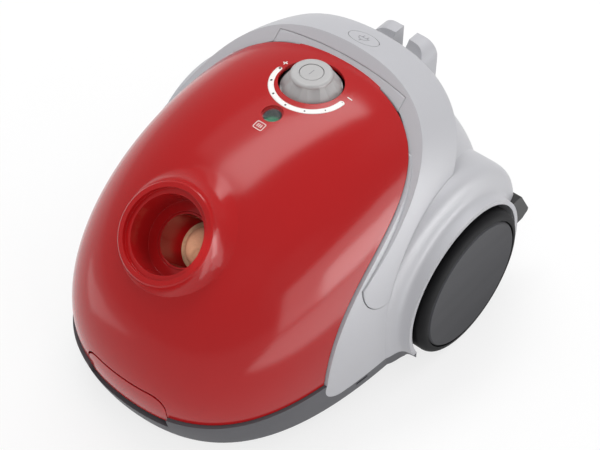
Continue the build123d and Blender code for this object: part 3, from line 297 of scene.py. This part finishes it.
# The float, its cup, near black for its own dark plastic and for painted shade down the well, and the motor's
# foam seal
float_green = moulded("green_polystyrene", "#1E9A6A", "#1A9062", "#2CA97A", roughness=0.25, drift=0.04,
                      grain_mm=2.0, depth_mm=0.004, ior=1.59)
cup_black_and_shade = moulded("matt_black_abs", "#0C0C0C", "#0A0A0A", "#141414", roughness=0.70, drift=0.05,
                    grain_mm=1.0, depth_mm=0.010, specular=0.05)
seal_black = moulded("black_foam_rubber", "#222223", "#1C1C1D", "#2C2C2D", roughness=0.80, drift=0.06,
                     grain_mm=1.2, depth_mm=0.10, ior=1.50)
plastics = [m.name for m in bpy.data.materials if m.node_tree and "edge rounding" in m.node_tree.nodes]
print("plastics:", plastics)

# %% [markdown]
# The hose socket grows out of the lid in a hollow curve that runs out softly all round. Near that
# ring the lid's Bevel node gets a radius of several millimetres, so that the shading flows across
# the line where the two surfaces meet. The distance from the socket's axis says where.

# %% Soft run-out of the socket's flare
socket_mouth, socket_tilt = Vector((0, -0.1205, 0.171)), math.radians(40)
socket_axis = Vector((0, -math.sin(socket_tilt), math.cos(socket_tilt)))
sharp, blurred = 0.0005, 0.009

tree = gloss_red.node_tree
where = add_node(tree, "ShaderNodeTexCoord").outputs["Object"]
from_mouth = add_node(tree, "ShaderNodeVectorMath", {1: socket_mouth}, {0: where}, operation="SUBTRACT")
across = add_node(tree, "ShaderNodeVectorMath", {1: socket_axis}, {0: from_mouth.outputs[0]},
                  operation="CROSS_PRODUCT")
off_axis = add_node(tree, "ShaderNodeVectorMath", {}, {0: across.outputs[0]}, operation="LENGTH")
grow = add_node(tree, "ShaderNodeMapRange",
                {"From Min": 0.043, "From Max": 0.056, "To Min": sharp, "To Max": blurred},
                {"Value": off_axis.outputs["Value"]})
fade = add_node(tree, "ShaderNodeMapRange",
                {"From Min": 0.066, "From Max": 0.084, "To Min": blurred, "To Max": sharp},
                {"Value": off_axis.outputs["Value"]})
soft = add_node(tree, "ShaderNodeMath", {}, {0: grow.outputs[0], 1: fade.outputs[0]}, operation="MINIMUM")
# The wider radius also spreads the lid's painted edge highlight over the flare's ring.
tree.links.new(soft.outputs[0], tree.nodes["edge rounding"].inputs["Radius"])
tree.nodes["edge rounding"].samples = 8
print("flare blend up to", blurred * 1000, "mm")

# %% [markdown]
# ## Metals, paper and felt
# Pins and axles are drawn steel, with fine lines along their length. The bag is kraft paper, which
# shows fibres and a mottled tone, with painted shade darkening its creases; its collar is grey-brown
# card. Filters are pressed felt. The little window over the bag-full float is clear polystyrene.

# %% Metals
def metal(name, colour, roughness, line_mm):
    """Metal with fine drawing lines."""
    material, out = new_material(name)
    tree = material.node_tree
    where = add_node(tree, "ShaderNodeTexCoord").outputs["Object"]
    along = add_node(tree, "ShaderNodeMapping", {"Scale": (0.05, 1.0, 1.0)}, {"Vector": where})
    lines = add_node(tree, "ShaderNodeTexNoise", {"Scale": per_metre(line_mm), "Detail": 3.0},
                     {"Vector": along.outputs[0]})
    gloss = add_node(tree, "ShaderNodeMapRange", {"To Min": roughness - 0.08, "To Max": roughness + 0.08},
                     {"Value": lines.outputs["Fac"]})
    bump = add_node(tree, "ShaderNodeBump", {"Strength": 1.0, "Distance": 0.000004},
                    {"Height": lines.outputs["Fac"]})
    skin = add_node(tree, "ShaderNodeBsdfPrincipled", {"Base Color": linear(colour), "Metallic": 1.0},
                    {"Roughness": gloss.outputs[0], "Normal": bump.outputs[0]})
    tree.links.new(skin.outputs[0], out.inputs["Surface"])
    return material


drawn_steel = metal("drawn_steel", "#B9BABC", 0.30, 0.8)
plated_sheet = metal("zinc_plated_sheet", "#A9ABAD", 0.38, 1.2)
cast_alloy = metal("cast_aluminium_alloy", "#C4C5C7", 0.42, 1.5)
print("metals ready")


# %% Paper, card, felt and clear plastic
def fibrous(name, colour, shade, fibre_mm, depth_mm, crease=None):
    """Paper, card or felt: mottled, matt, with fibres in the bump and painted shade in the creases where
    asked.
    """
    material, out = new_material(name)
    tree = material.node_tree
    where = add_node(tree, "ShaderNodeTexCoord").outputs["Object"]
    fibres = add_node(tree, "ShaderNodeTexNoise",
                      {"Scale": per_metre(fibre_mm), "Detail": 6.0, "Distortion": 2.0}, {"Vector": where})
    tint = add_node(tree, "ShaderNodeMix", {6: linear(colour), 7: linear(shade)}, {0: fibres.outputs["Fac"]},
                    data_type="RGBA").outputs[2]
    if crease:
        fold = add_node(tree, "ShaderNodeAttribute", attribute_name="crease")
        tint = add_node(tree, "ShaderNodeMix", {7: linear(crease)}, {0: fold.outputs["Fac"], 6: tint},
                        data_type="RGBA").outputs[2]
    bump = add_node(tree, "ShaderNodeBump", {"Strength": 1.0, "Distance": depth_mm / 1000},
                    {"Height": fibres.outputs["Fac"]})
    skin = add_node(tree, "ShaderNodeBsdfPrincipled", {"Roughness": 0.85, "IOR": 1.45},
                    {"Base Color": tint, "Normal": bump.outputs[0]})
    tree.links.new(skin.outputs[0], out.inputs["Surface"])
    return material


# The kraft paper's last colour is painted shade for its creases.
kraft_paper = fibrous("kraft_paper", "#D2A183", "#C08E6E", 3.0, 0.05, "#8E6248")
card = fibrous("pressed_card", "#B58868", "#9C7154", 2.0, 0.05)
felt = fibrous("pressed_felt", "#E2E2DC", "#CFCFC8", 1.6, 0.25)


def clear_plastic():
    """Polished clear polystyrene with the faint flow marks of its moulding."""
    material, out = new_material("clear_polystyrene")
    tree = material.node_tree
    where = add_node(tree, "ShaderNodeTexCoord").outputs["Object"]
    flow = add_node(tree, "ShaderNodeTexNoise", {"Scale": per_metre(5), "Detail": 1.0}, {"Vector": where})
    bump = add_node(tree, "ShaderNodeBump", {"Strength": 1.0, "Distance": 0.000004},
                    {"Height": flow.outputs["Fac"]})
    skin = add_node(tree, "ShaderNodeBsdfPrincipled",
                    {"Base Color": linear("#F2F6F4"), "Roughness": 0.04, "IOR": 1.59,
                     "Transmission Weight": 1.0, "Alpha": 0.08},
                    {"Normal": bump.outputs[0]})
    tree.links.new(skin.outputs[0], out.inputs["Surface"])
    return material


lens_clear = clear_plastic()
print("paper, card, felt and clear plastic ready")

# %% [markdown]
# ## Who wears what
# Each node of the frame takes its finish by its material slot in the record, so nothing is missed.

# %% Finishes by slot
finish_of = {
    "lid_red": gloss_red, "shell_grey": satin_grey, "base_grey": dark_grey, "tyre_grey": tyre_grey,
    "hub_grey": hub_grey, "knob_grey": knob_grey, "trim_black": lug_black, "steel": drawn_steel,
    "motor_steel": plated_sheet, "fan_alloy": cast_alloy, "bag_paper": kraft_paper, "collar_card": card,
    "filter_felt": felt, "seal_rubber": seal_black, "float_green": float_green, "inner_plastic": inner_grey,
    "lens_clear": lens_clear,
}
slot_of = {part["node"]: part["material_slot"] for part in frame["record"]["subparts"]}
for name, piece in frame["nodes"].items():
    for place in piece.material_slots:
        place.material = finish_of[slot_of[name]]
# The float's cup is near black: its dark plastic, deepened as painted shade down the float's well.
for place in frame["nodes"]["indicator_cup"].material_slots:
    place.material = cup_black_and_shade
print("nodes finished:", len(slot_of))

# %% [markdown]
# ## Screen-printed marks
# The scale round the knob is ink on the lid: a half ring with dots that grow with the suction, a plus
# and a minus at its ends, and a small bag symbol below the float's window. A picture texture would
# blur close up. A ribbon of mesh that drops onto the lid and gets the thickness of an ink film keeps
# clean edges and follows the curve. Rays sent down onto the node find the surface.

# %% Ribbons that lie on a surface
def surface_of(node):
    """Search tree over the triangles of a node."""
    mesh = frame["nodes"][node].data
    return BVHTree.FromPolygons([v.co for v in mesh.vertices], [p.vertices for p in mesh.polygons])


def drop(tree, x_mm, y_mm, lift_mm):
    """Point on the surface below, raised along its normal."""
    spot, normal, _, _ = tree.ray_cast(Vector((x_mm / 1000, y_mm / 1000, 0.4)), Vector((0, 0, -1)))
    return spot + normal * lift_mm / 1000


def straight(start, end, count=25):
    """Points from start to end, closer together near the ends."""
    a, b = Vector(start), Vector(end)
    return [a.lerp(b, (1 - math.cos(math.pi * i / (count - 1))) / 2) for i in range(count)]


def arc(centre, radius, start, end, count=97):
    """Points on a circle, angles in degrees."""
    turns = [math.radians(start + (end - start) * i / (count - 1)) for i in range(count)]
    return [Vector((centre[0] + radius * math.cos(t), centre[1] + radius * math.sin(t))) for t in turns]


def ribbon(bm, tree, path, width, lift, closed=False):
    """Strip along a path, round at its open ends."""
    total = sum((b - a).length for a, b in zip(path, path[1:]))
    done, rows, last = 0.0, [], len(path) - 1
    for i, spot in enumerate(path):
        before = path[i - 1] if i or closed else spot
        after = path[(i + 1) % len(path)] if i < last or closed else spot
        ahead = (after - before).normalized()
        done += (spot - path[i - 1]).length if i else 0.0
        room = width if closed else min(done, total - done)
        half = width / 2 if room >= width / 2 else math.sqrt(max(width * room - room * room, 0.0004))
        side = Vector((-ahead.y, ahead.x)) * half
        rows.append([bm.verts.new(drop(tree, *(spot + side * k / 2), lift)) for k in (-2, -1, 0, 1, 2)])
    for i in range(len(path) if closed else last):
        here, there = rows[i], rows[(i + 1) % len(path)]
        for j in range(4):
            bm.faces.new((here[j], there[j], there[j + 1], here[j + 1]))


def as_piece(name, bm, material, film_mm=0.0, outward=1.0):
    """Mesh object from a bmesh, with the thickness of a film where asked."""
    mesh = bpy.data.meshes.new(name)
    bm.to_mesh(mesh)
    bm.free()
    mesh.materials.append(material)
    made = bpy.data.objects.new(name, mesh)
    scene.collection.objects.link(made)
    if film_mm:
        film = made.modifiers.new("film", "SOLIDIFY")
        film.thickness = film_mm / 1000
        film.offset = outward
        bake(made)
    made.data.shade_smooth()
    return made


def bake(made):
    """Turn the result of a piece's modifiers into its plain mesh."""
    ready = made.evaluated_get(bpy.context.evaluated_depsgraph_get())
    mesh = bpy.data.meshes.new_from_object(ready)
    made.modifiers.clear()
    made.data = mesh


def ink(name, colour, shade):
    """Matt film, slightly uneven in cover: screen-print ink, also used as painted groove shade."""
    material, out = new_material(name)
    tree = material.node_tree
    where = add_node(tree, "ShaderNodeTexCoord").outputs["Object"]
    cover = add_node(tree, "ShaderNodeTexNoise", {"Scale": per_metre(1.5), "Detail": 3.0}, {"Vector": where})
    tint = add_node(tree, "ShaderNodeMix", {6: linear(colour), 7: linear(shade)}, {0: cover.outputs["Fac"]},
                    data_type="RGBA")
    gloss = add_node(tree, "ShaderNodeMapRange", {"To Min": 0.40, "To Max": 0.55},
                     {"Value": cover.outputs["Fac"]})
    skin = add_node(tree, "ShaderNodeBsdfPrincipled", {"IOR": 1.50},
                    {"Base Color": tint.outputs[2], "Roughness": gloss.outputs[0]})
    tree.links.new(skin.outputs[0], out.inputs["Surface"])
    return material


white_ink = ink("white_screen_ink", "#F4F1EE", "#ECE7E4")
dark_ink = ink("dark_screen_ink", "#2A1A1B", "#241617")
# Painted shade: a grey film in the tone of the shade inside the buttons' fine moulded grooves.
mould_shadow = ink("engraved_line_grey", "#8A8A8F", "#848489")
print("inks ready")

# %% Scale, plus, minus and bag symbol
lid_top = surface_of("lid")
ink_lift, ink_film = 0.05, 0.06
scale_centre, scale_radius, scale_start, scale_sweep = (1.6, 34.8), 29.0, 181.0, 180.0
band_width, band_lap, stroke, half_bar = 4.4, 3.0, 0.9, 2.2
plus, minus = Vector((-28.4, 41.8)), Vector((31.8, 42.6))
sideways, upwards = Vector((half_bar, 0)), Vector((0, half_bar))
bm = bmesh.new()
band = arc(scale_centre, scale_radius, scale_start - band_lap, scale_start + scale_sweep + band_lap, 145)
ribbon(bm, lid_top, band, band_width, ink_lift)
for middle, half in ((plus, sideways), (plus, upwards), (minus, sideways)):
    ribbon(bm, lid_top, straight(middle - half, middle + half), stroke, ink_lift)
scale_print = as_piece("scale_print", bm, white_ink, ink_film)
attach(scale_print, "lid")

symbol_y, symbol_half_x, symbol_half_y, symbol_corner = -20.0, 2.8, 2.2, 1.0
bm = bmesh.new()
frame_line = []
for side_x, side_y, turn in ((1, 1, 0), (-1, 1, 90), (-1, -1, 180), (1, -1, 270)):
    middle = (side_x * symbol_half_x, symbol_y + side_y * symbol_half_y)
    frame_line += arc(middle, symbol_corner, turn, turn + 90, 6)
ribbon(bm, lid_top, frame_line, 0.5, ink_lift, closed=True)
for x in (-1.6, 0.0, 1.6):
    ribbon(bm, lid_top, straight((x, symbol_y - 1.6), (x, symbol_y + 1.6), 15), 0.6, ink_lift)
bag_symbol = as_piece("bag_symbol", bm, white_ink, ink_film)
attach(bag_symbol, "lid")
print("scale print faces:", len(scale_print.data.polygons))

# %% [markdown]
# ## Dots of the scale
# Seven dots follow the ring at equal steps and grow towards the strong end. A rule like that suits
# Geometry Nodes: an arc gives the places, a ray finds the lid below each, and a thin disc is set
# there along the surface's normal. The result is realised and kept as a plain mesh.

# %% Dots by Geometry Nodes
def dot_tree():
    """Discs along an arc, dropped onto a surface, from small to large."""
    tree = bpy.data.node_groups.new("scale_dots", "GeometryNodeTree")
    face = tree.interface
    face.new_socket("Geometry", in_out="OUTPUT", socket_type="NodeSocketGeometry")
    for name, kind in (("Surface", "Object"), ("Count", "Int"), ("Arc radius", "Float"),
                       ("Start angle", "Float"), ("Sweep angle", "Float"), ("Arc centre", "Vector"),
                       ("Largest radius", "Float"), ("Smallest radius", "Float"), ("Lift", "Float"),
                       ("Ink", "Material")):
        face.new_socket(name, in_out="INPUT", socket_type="NodeSocket" + kind)
    given = add_node(tree, "NodeGroupInput").outputs
    ring = add_node(tree, "GeometryNodeCurveArc", {}, {
        "Resolution": given["Count"], "Radius": given["Arc radius"], "Start Angle": given["Start angle"],
        "Sweep Angle": given["Sweep angle"]}, mode="RADIUS")
    placed = add_node(tree, "GeometryNodeTransform", {},
                      {"Geometry": ring.outputs[0], "Translation": given["Arc centre"]})
    points = add_node(tree, "GeometryNodeCurveToPoints", {}, {"Curve": placed.outputs[0]}, mode="EVALUATED")
    target = add_node(tree, "GeometryNodeObjectInfo", {}, {"Object": given["Surface"]})
    ray = add_node(tree, "GeometryNodeRaycast", {"Ray Direction": (0, 0, -1), "Ray Length": 1.0},
                   {"Target Geometry": target.outputs["Geometry"]})
    rise = add_node(tree, "ShaderNodeVectorMath", {}, {0: ray.outputs["Hit Normal"], "Scale": given["Lift"]},
                    operation="SCALE")
    spot = add_node(tree, "ShaderNodeVectorMath", {}, {0: ray.outputs["Hit Position"], 1: rise.outputs[0]},
                    operation="ADD")
    upright = add_node(tree, "FunctionNodeAlignRotationToVector", {}, {"Vector": ray.outputs["Hit Normal"]},
                       axis="Z")
    turned = add_node(tree, "GeometryNodeCaptureAttribute", {}, {"Geometry": points.outputs["Points"]})
    turned.capture_items.new("ROTATION", "Upright")
    tree.links.new(upright.outputs[0], turned.inputs["Upright"])
    seated = add_node(tree, "GeometryNodeSetPosition", {},
                      {"Geometry": turned.outputs[0], "Position": spot.outputs[0]})
    order = add_node(tree, "GeometryNodeInputIndex")
    final = add_node(tree, "ShaderNodeMath", {1: 1.0}, {0: given["Count"]}, operation="SUBTRACT")
    size = add_node(tree, "ShaderNodeMapRange", {}, {
        "Value": order.outputs[0], "From Max": final.outputs[0], "To Min": given["Largest radius"],
        "To Max": given["Smallest radius"]})
    wide = add_node(tree, "ShaderNodeCombineXYZ", {"Z": 1.0}, {"X": size.outputs[0], "Y": size.outputs[0]})
    disc = add_node(tree, "GeometryNodeMeshCylinder", {"Vertices": 24, "Radius": 1.0, "Depth": 0.00005})
    dots = add_node(tree, "GeometryNodeInstanceOnPoints", {}, {
        "Points": seated.outputs[0], "Instance": disc.outputs["Mesh"], "Rotation": turned.outputs["Upright"],
        "Scale": wide.outputs[0]})
    real = add_node(tree, "GeometryNodeRealizeInstances", {}, {"Geometry": dots.outputs[0]})
    inked = add_node(tree, "GeometryNodeSetMaterial", {},
                     {"Geometry": real.outputs[0], "Material": given["Ink"]})
    add_node(tree, "NodeGroupOutput", {}, {"Geometry": inked.outputs[0]})
    return tree


def grown(name, tree, **sizes):
    """Plain mesh object from a node tree with its inputs set."""
    made = bpy.data.objects.new(name, bpy.data.meshes.new(name))
    scene.collection.objects.link(made)
    grow = made.modifiers.new("grow", "NODES")
    grow.node_group = tree
    for socket in tree.interface.items_tree:
        if socket.in_out == "INPUT":
            grow[socket.identifier] = sizes[socket.name.replace(" ", "_").lower()]
    bake(made)
    return made


scale_dots = grown(
    "scale_dots", dot_tree(), surface=frame["nodes"]["lid"], count=7, arc_radius=scale_radius / 1000,
    start_angle=math.radians(scale_start), sweep_angle=math.radians(scale_sweep),
    arc_centre=(scale_centre[0] / 1000, scale_centre[1] / 1000, 0.4), largest_radius=0.00105,
    smallest_radius=0.00045, lift=0.00014, ink=dark_ink)
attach(scale_dots, "lid")
print("dots:", len(scale_dots.data.polygons), "faces")

# %% [markdown]
# ## Moulded symbols on the buttons
# The rewind button carries a plug in outline and the power button a single stroke, both moulded as
# fine grooves. Cutting such small lines into the shells would cost many faces, so a thin ribbon in
# the tone of a shaded groove stands for them.

# %% Symbols on the buttons
rewind_top = surface_of("rewind_button")
groove_lift, groove_film, fine_line, wide_line = 0.02, 0.05, 0.55, 0.8
plug = Vector((0.0, 98.5))
plug_radius, plug_brim, plug_rise, pin_apart = 4.2, 4.9, 0.8, 1.9
bm = bmesh.new()
bowl = [Vector((-plug_radius, plug_rise)), *arc((0, plug_rise), plug_radius, 180, 360, 25),
        Vector((plug_radius, plug_rise))]
ribbon(bm, rewind_top, [plug + spot for spot in bowl], fine_line, groove_lift)
brim = straight(plug + Vector((-plug_brim, plug_rise)), plug + Vector((plug_brim, plug_rise)))
ribbon(bm, rewind_top, brim, fine_line, groove_lift)
for x, start, end in ((-pin_apart, 0.9, 4.2), (pin_apart, 0.9, 4.2), (0.0, -3.4, -6.2)):
    pin = straight(plug + Vector((x, start)), plug + Vector((x, end)), 15)
    ribbon(bm, rewind_top, pin, wide_line, groove_lift)
plug_symbol = as_piece("plug_symbol", bm, mould_shadow, groove_film)
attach(plug_symbol, "rewind_button")

bm = bmesh.new()
ribbon(bm, surface_of("power_button"), straight((0.0, 34.4), (0.0, 40.6)), fine_line, groove_lift)
power_stroke = as_piece("power_stroke", bm, mould_shadow, groove_film)
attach(power_stroke, "power_button")
print("symbols:", plug_symbol.name, power_stroke.name)

# %% [markdown]
# ## Hinge lip
# Behind the lid's rear edge a barrel-shaped room lets the lid turn. On the closed machine a grey lip
# closes that room, flush with the front wall of the bow, and it turns with the lid. It is a strip
# that lies in the plane of the bow's wall and ends just inside the barrel, so that it clears the
# room at every angle.

# %% Hinge lip
hinge_y, hinge_z, room_half, room_crown, room_end = 71.5, 193.0, 60.0, 13.0, 7.5
wall_foot, wall_top, wall_set_back, lip_play = Vector((47.5, 179.0)), Vector((77.5, 205.0)), 0.5, 0.25
lip_least, lip_step, edge_reach, lip_tuck, lip_thickness = 0.5, 0.25, 2.5, 1.0, 1.0
along = (wall_top - wall_foot).normalized()
inward = Vector((along.y, -along.x))
hinge_along = (Vector((hinge_y, hinge_z)) - wall_foot).dot(along)
hinge_depth = (Vector((hinge_y, hinge_z)) - wall_foot).dot(inward) - wall_set_back
sag_radius = (room_half ** 2 + (room_crown - room_end) ** 2) / (2 * (room_crown - room_end))
bm = bmesh.new()
rows = []
for i in range(81):
    x = (room_half - lip_play) * (i / 40 - 1)
    reach = room_crown - sag_radius + math.sqrt(sag_radius ** 2 - x * x) - lip_play
    top = hinge_along + math.sqrt(reach ** 2 - hinge_depth ** 2)
    low = top - lip_least
    while low > 2 * hinge_along - top:
        y, z = wall_foot + along * low
        under = lid_top.ray_cast(Vector((x / 1000, (y - edge_reach) / 1000, 0.4)), Vector((0, 0, -1)))[0]
        if under and z < under.z * 1000 - lip_tuck:
            break
        low -= lip_step
    spots = [wall_foot + along * (low + (top - low) * k / 6) + inward * wall_set_back for k in range(7)]
    rows.append([bm.verts.new((x / 1000, spot.x / 1000, spot.y / 1000)) for spot in spots])
for here, there in zip(rows, rows[1:]):
    for k in range(6):
        bm.faces.new((here[k], there[k], there[k + 1], here[k + 1]))
hinge_lip = as_piece("hinge_lip", bm, satin_grey, lip_thickness, outward=-1.0)
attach(hinge_lip, "lid")
print("hinge lip faces:", len(hinge_lip.data.polygons))

# %% [markdown]
# ## Paper dust bag
# The bag is a soft paper sack, half filled, hanging under its card collar. A cloth simulation could
# crumple it; paper folds in flat facets with sharp creases, though. So on a remeshed copy of the bag's
# solid the cells of a Voronoi pattern lean against each other and crease along their borders, which is
# how crumpled paper breaks up. The crease is stored on the points, and the paper is painted darker
# there as painted shade in the folds. Under the collar's hole the paper bulges up into the lid's
# sleeve. Blender starts the noise that warps the cells from the clock, so a fixed seed makes the bag
# the same each time.

# %% Paper dust bag
def soft_copy(name, node, voxel_mm):
    """Evenly remeshed copy of a node's solid."""
    bm = bmesh.new()
    bm.from_mesh(frame["nodes"][node].data)
    bmesh.ops.remove_doubles(bm, verts=bm.verts, dist=1e-6)
    made = as_piece(name, bm, finish_of[slot_of[node]])
    fine = made.modifiers.new("even", "REMESH")
    fine.mode = "VOXEL"
    fine.voxel_size = voxel_mm / 1000
    bake(made)
    made.data.shade_smooth()
    return made


def crumple(made, cell_mm, depth_mm, lean_mm, swell_mm, seed):
    """Tilt facets against each other, crease their borders and let the faces sag in broad waves."""
    noise.seed_set(seed)
    crease_width, wave_mm, middle = 0.10, 55, Vector((0.5, 0.5, 0.5))
    warp, warp_pitch, tilt_pick, shade_pick = 0.35, 0.9, 3.7, 2.3
    crease_shade = made.data.attributes.new("crease", "FLOAT", "POINT")
    normals = [v.normal.copy() for v in made.data.vertices]
    for v, normal in zip(made.data.vertices, normals):
        spot = v.co * 1000 / cell_mm
        spot = spot + warp * noise.noise_vector(spot * warp_pitch)
        reach, centres, *_ = noise.voronoi(spot)
        tilt_to = noise.cell_vector(centres[0] * tilt_pick) - middle
        lean = 1.0 + (spot - centres[0]).dot(tilt_to)
        fold = max(1.0 - (reach[1] - reach[0]) / crease_width, 0.0) ** 2
        wave = 0.5 + 0.5 * noise.noise(v.co * 1000 / wave_mm)
        v.co -= normal * (fold * depth_mm + lean * lean_mm + wave * swell_mm) / 1000
        # Painted shade: how dark the paper is painted along each crease.
        crease_shade.data[v.index].value = fold * (0.4 + 0.6 * noise.cell(centres[0] * shade_pick))


def rise(made, foot, axis, radius_mm, height_mm):
    """Swell the surface along an axis near the axis, towards the collar's hole."""
    for v in made.data.vertices:
        away = (v.co - foot).cross(axis).length * 1000
        if away < radius_mm and v.normal.dot(axis) > 0.3:
            v.co += axis * height_mm / 1000 * (0.5 + 0.5 * math.cos(math.pi * (away / radius_mm) ** 7))


dust_bag = soft_copy("paper_dust_bag", "dust_bag", 1.8)
crumple(dust_bag, cell_mm=24.0, depth_mm=0.7, lean_mm=2.2, swell_mm=2.5, seed=1795643718)
rise(dust_bag, socket_mouth, socket_axis, radius_mm=18.9, height_mm=14.0)
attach(dust_bag, "body")
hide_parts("dust_bag")
print("paper bag points:", len(dust_bag.data.vertices))

# %% [markdown]
# ## Felt filters
# Two filters are pads of pressed felt: one before the motor, one behind the outlet grille. A pad is
# never a block: its edges round over and its faces belly slightly between the quilting lines. Copies
# of the solids are remeshed and pressed in along a diamond grid.

# %% Felt filters
def quilt(made, across, pitch_mm, depth_mm):
    """Press quilting lines into a pad in a diamond grid over its two long directions."""
    for v, normal in [(v, v.normal.copy()) for v in made.data.vertices]:
        a, b = (v.co[k] * 1000 / pitch_mm for k in across)
        line = min(abs((a + b) % 1.0 - 0.5), abs((a - b) % 1.0 - 0.5))
        v.co -= normal * depth_mm / 1000 * (0.15 + math.exp(-(line / 0.09) ** 2))


for node, pitch in (("motor_filter", 15.0), ("exhaust_filter", 12.0)):
    pad = soft_copy(node.replace("_", "_felt_"), node, 1.2)
    quilt(pad, across=(0, 2), pitch_mm=pitch, depth_mm=0.7)
    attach(pad, "body")
    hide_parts(node)
    print(pad.name, "points:", len(pad.data.vertices))

# %% [markdown]
# ## Sizes
# The finished machine has to stay inside the box of its engineering model. Its overall size is printed.

# %% Sizes and finish
low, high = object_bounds()
print("overall, mm:", [round((b - a) * 1000, 1) for a, b in zip(low, high)])
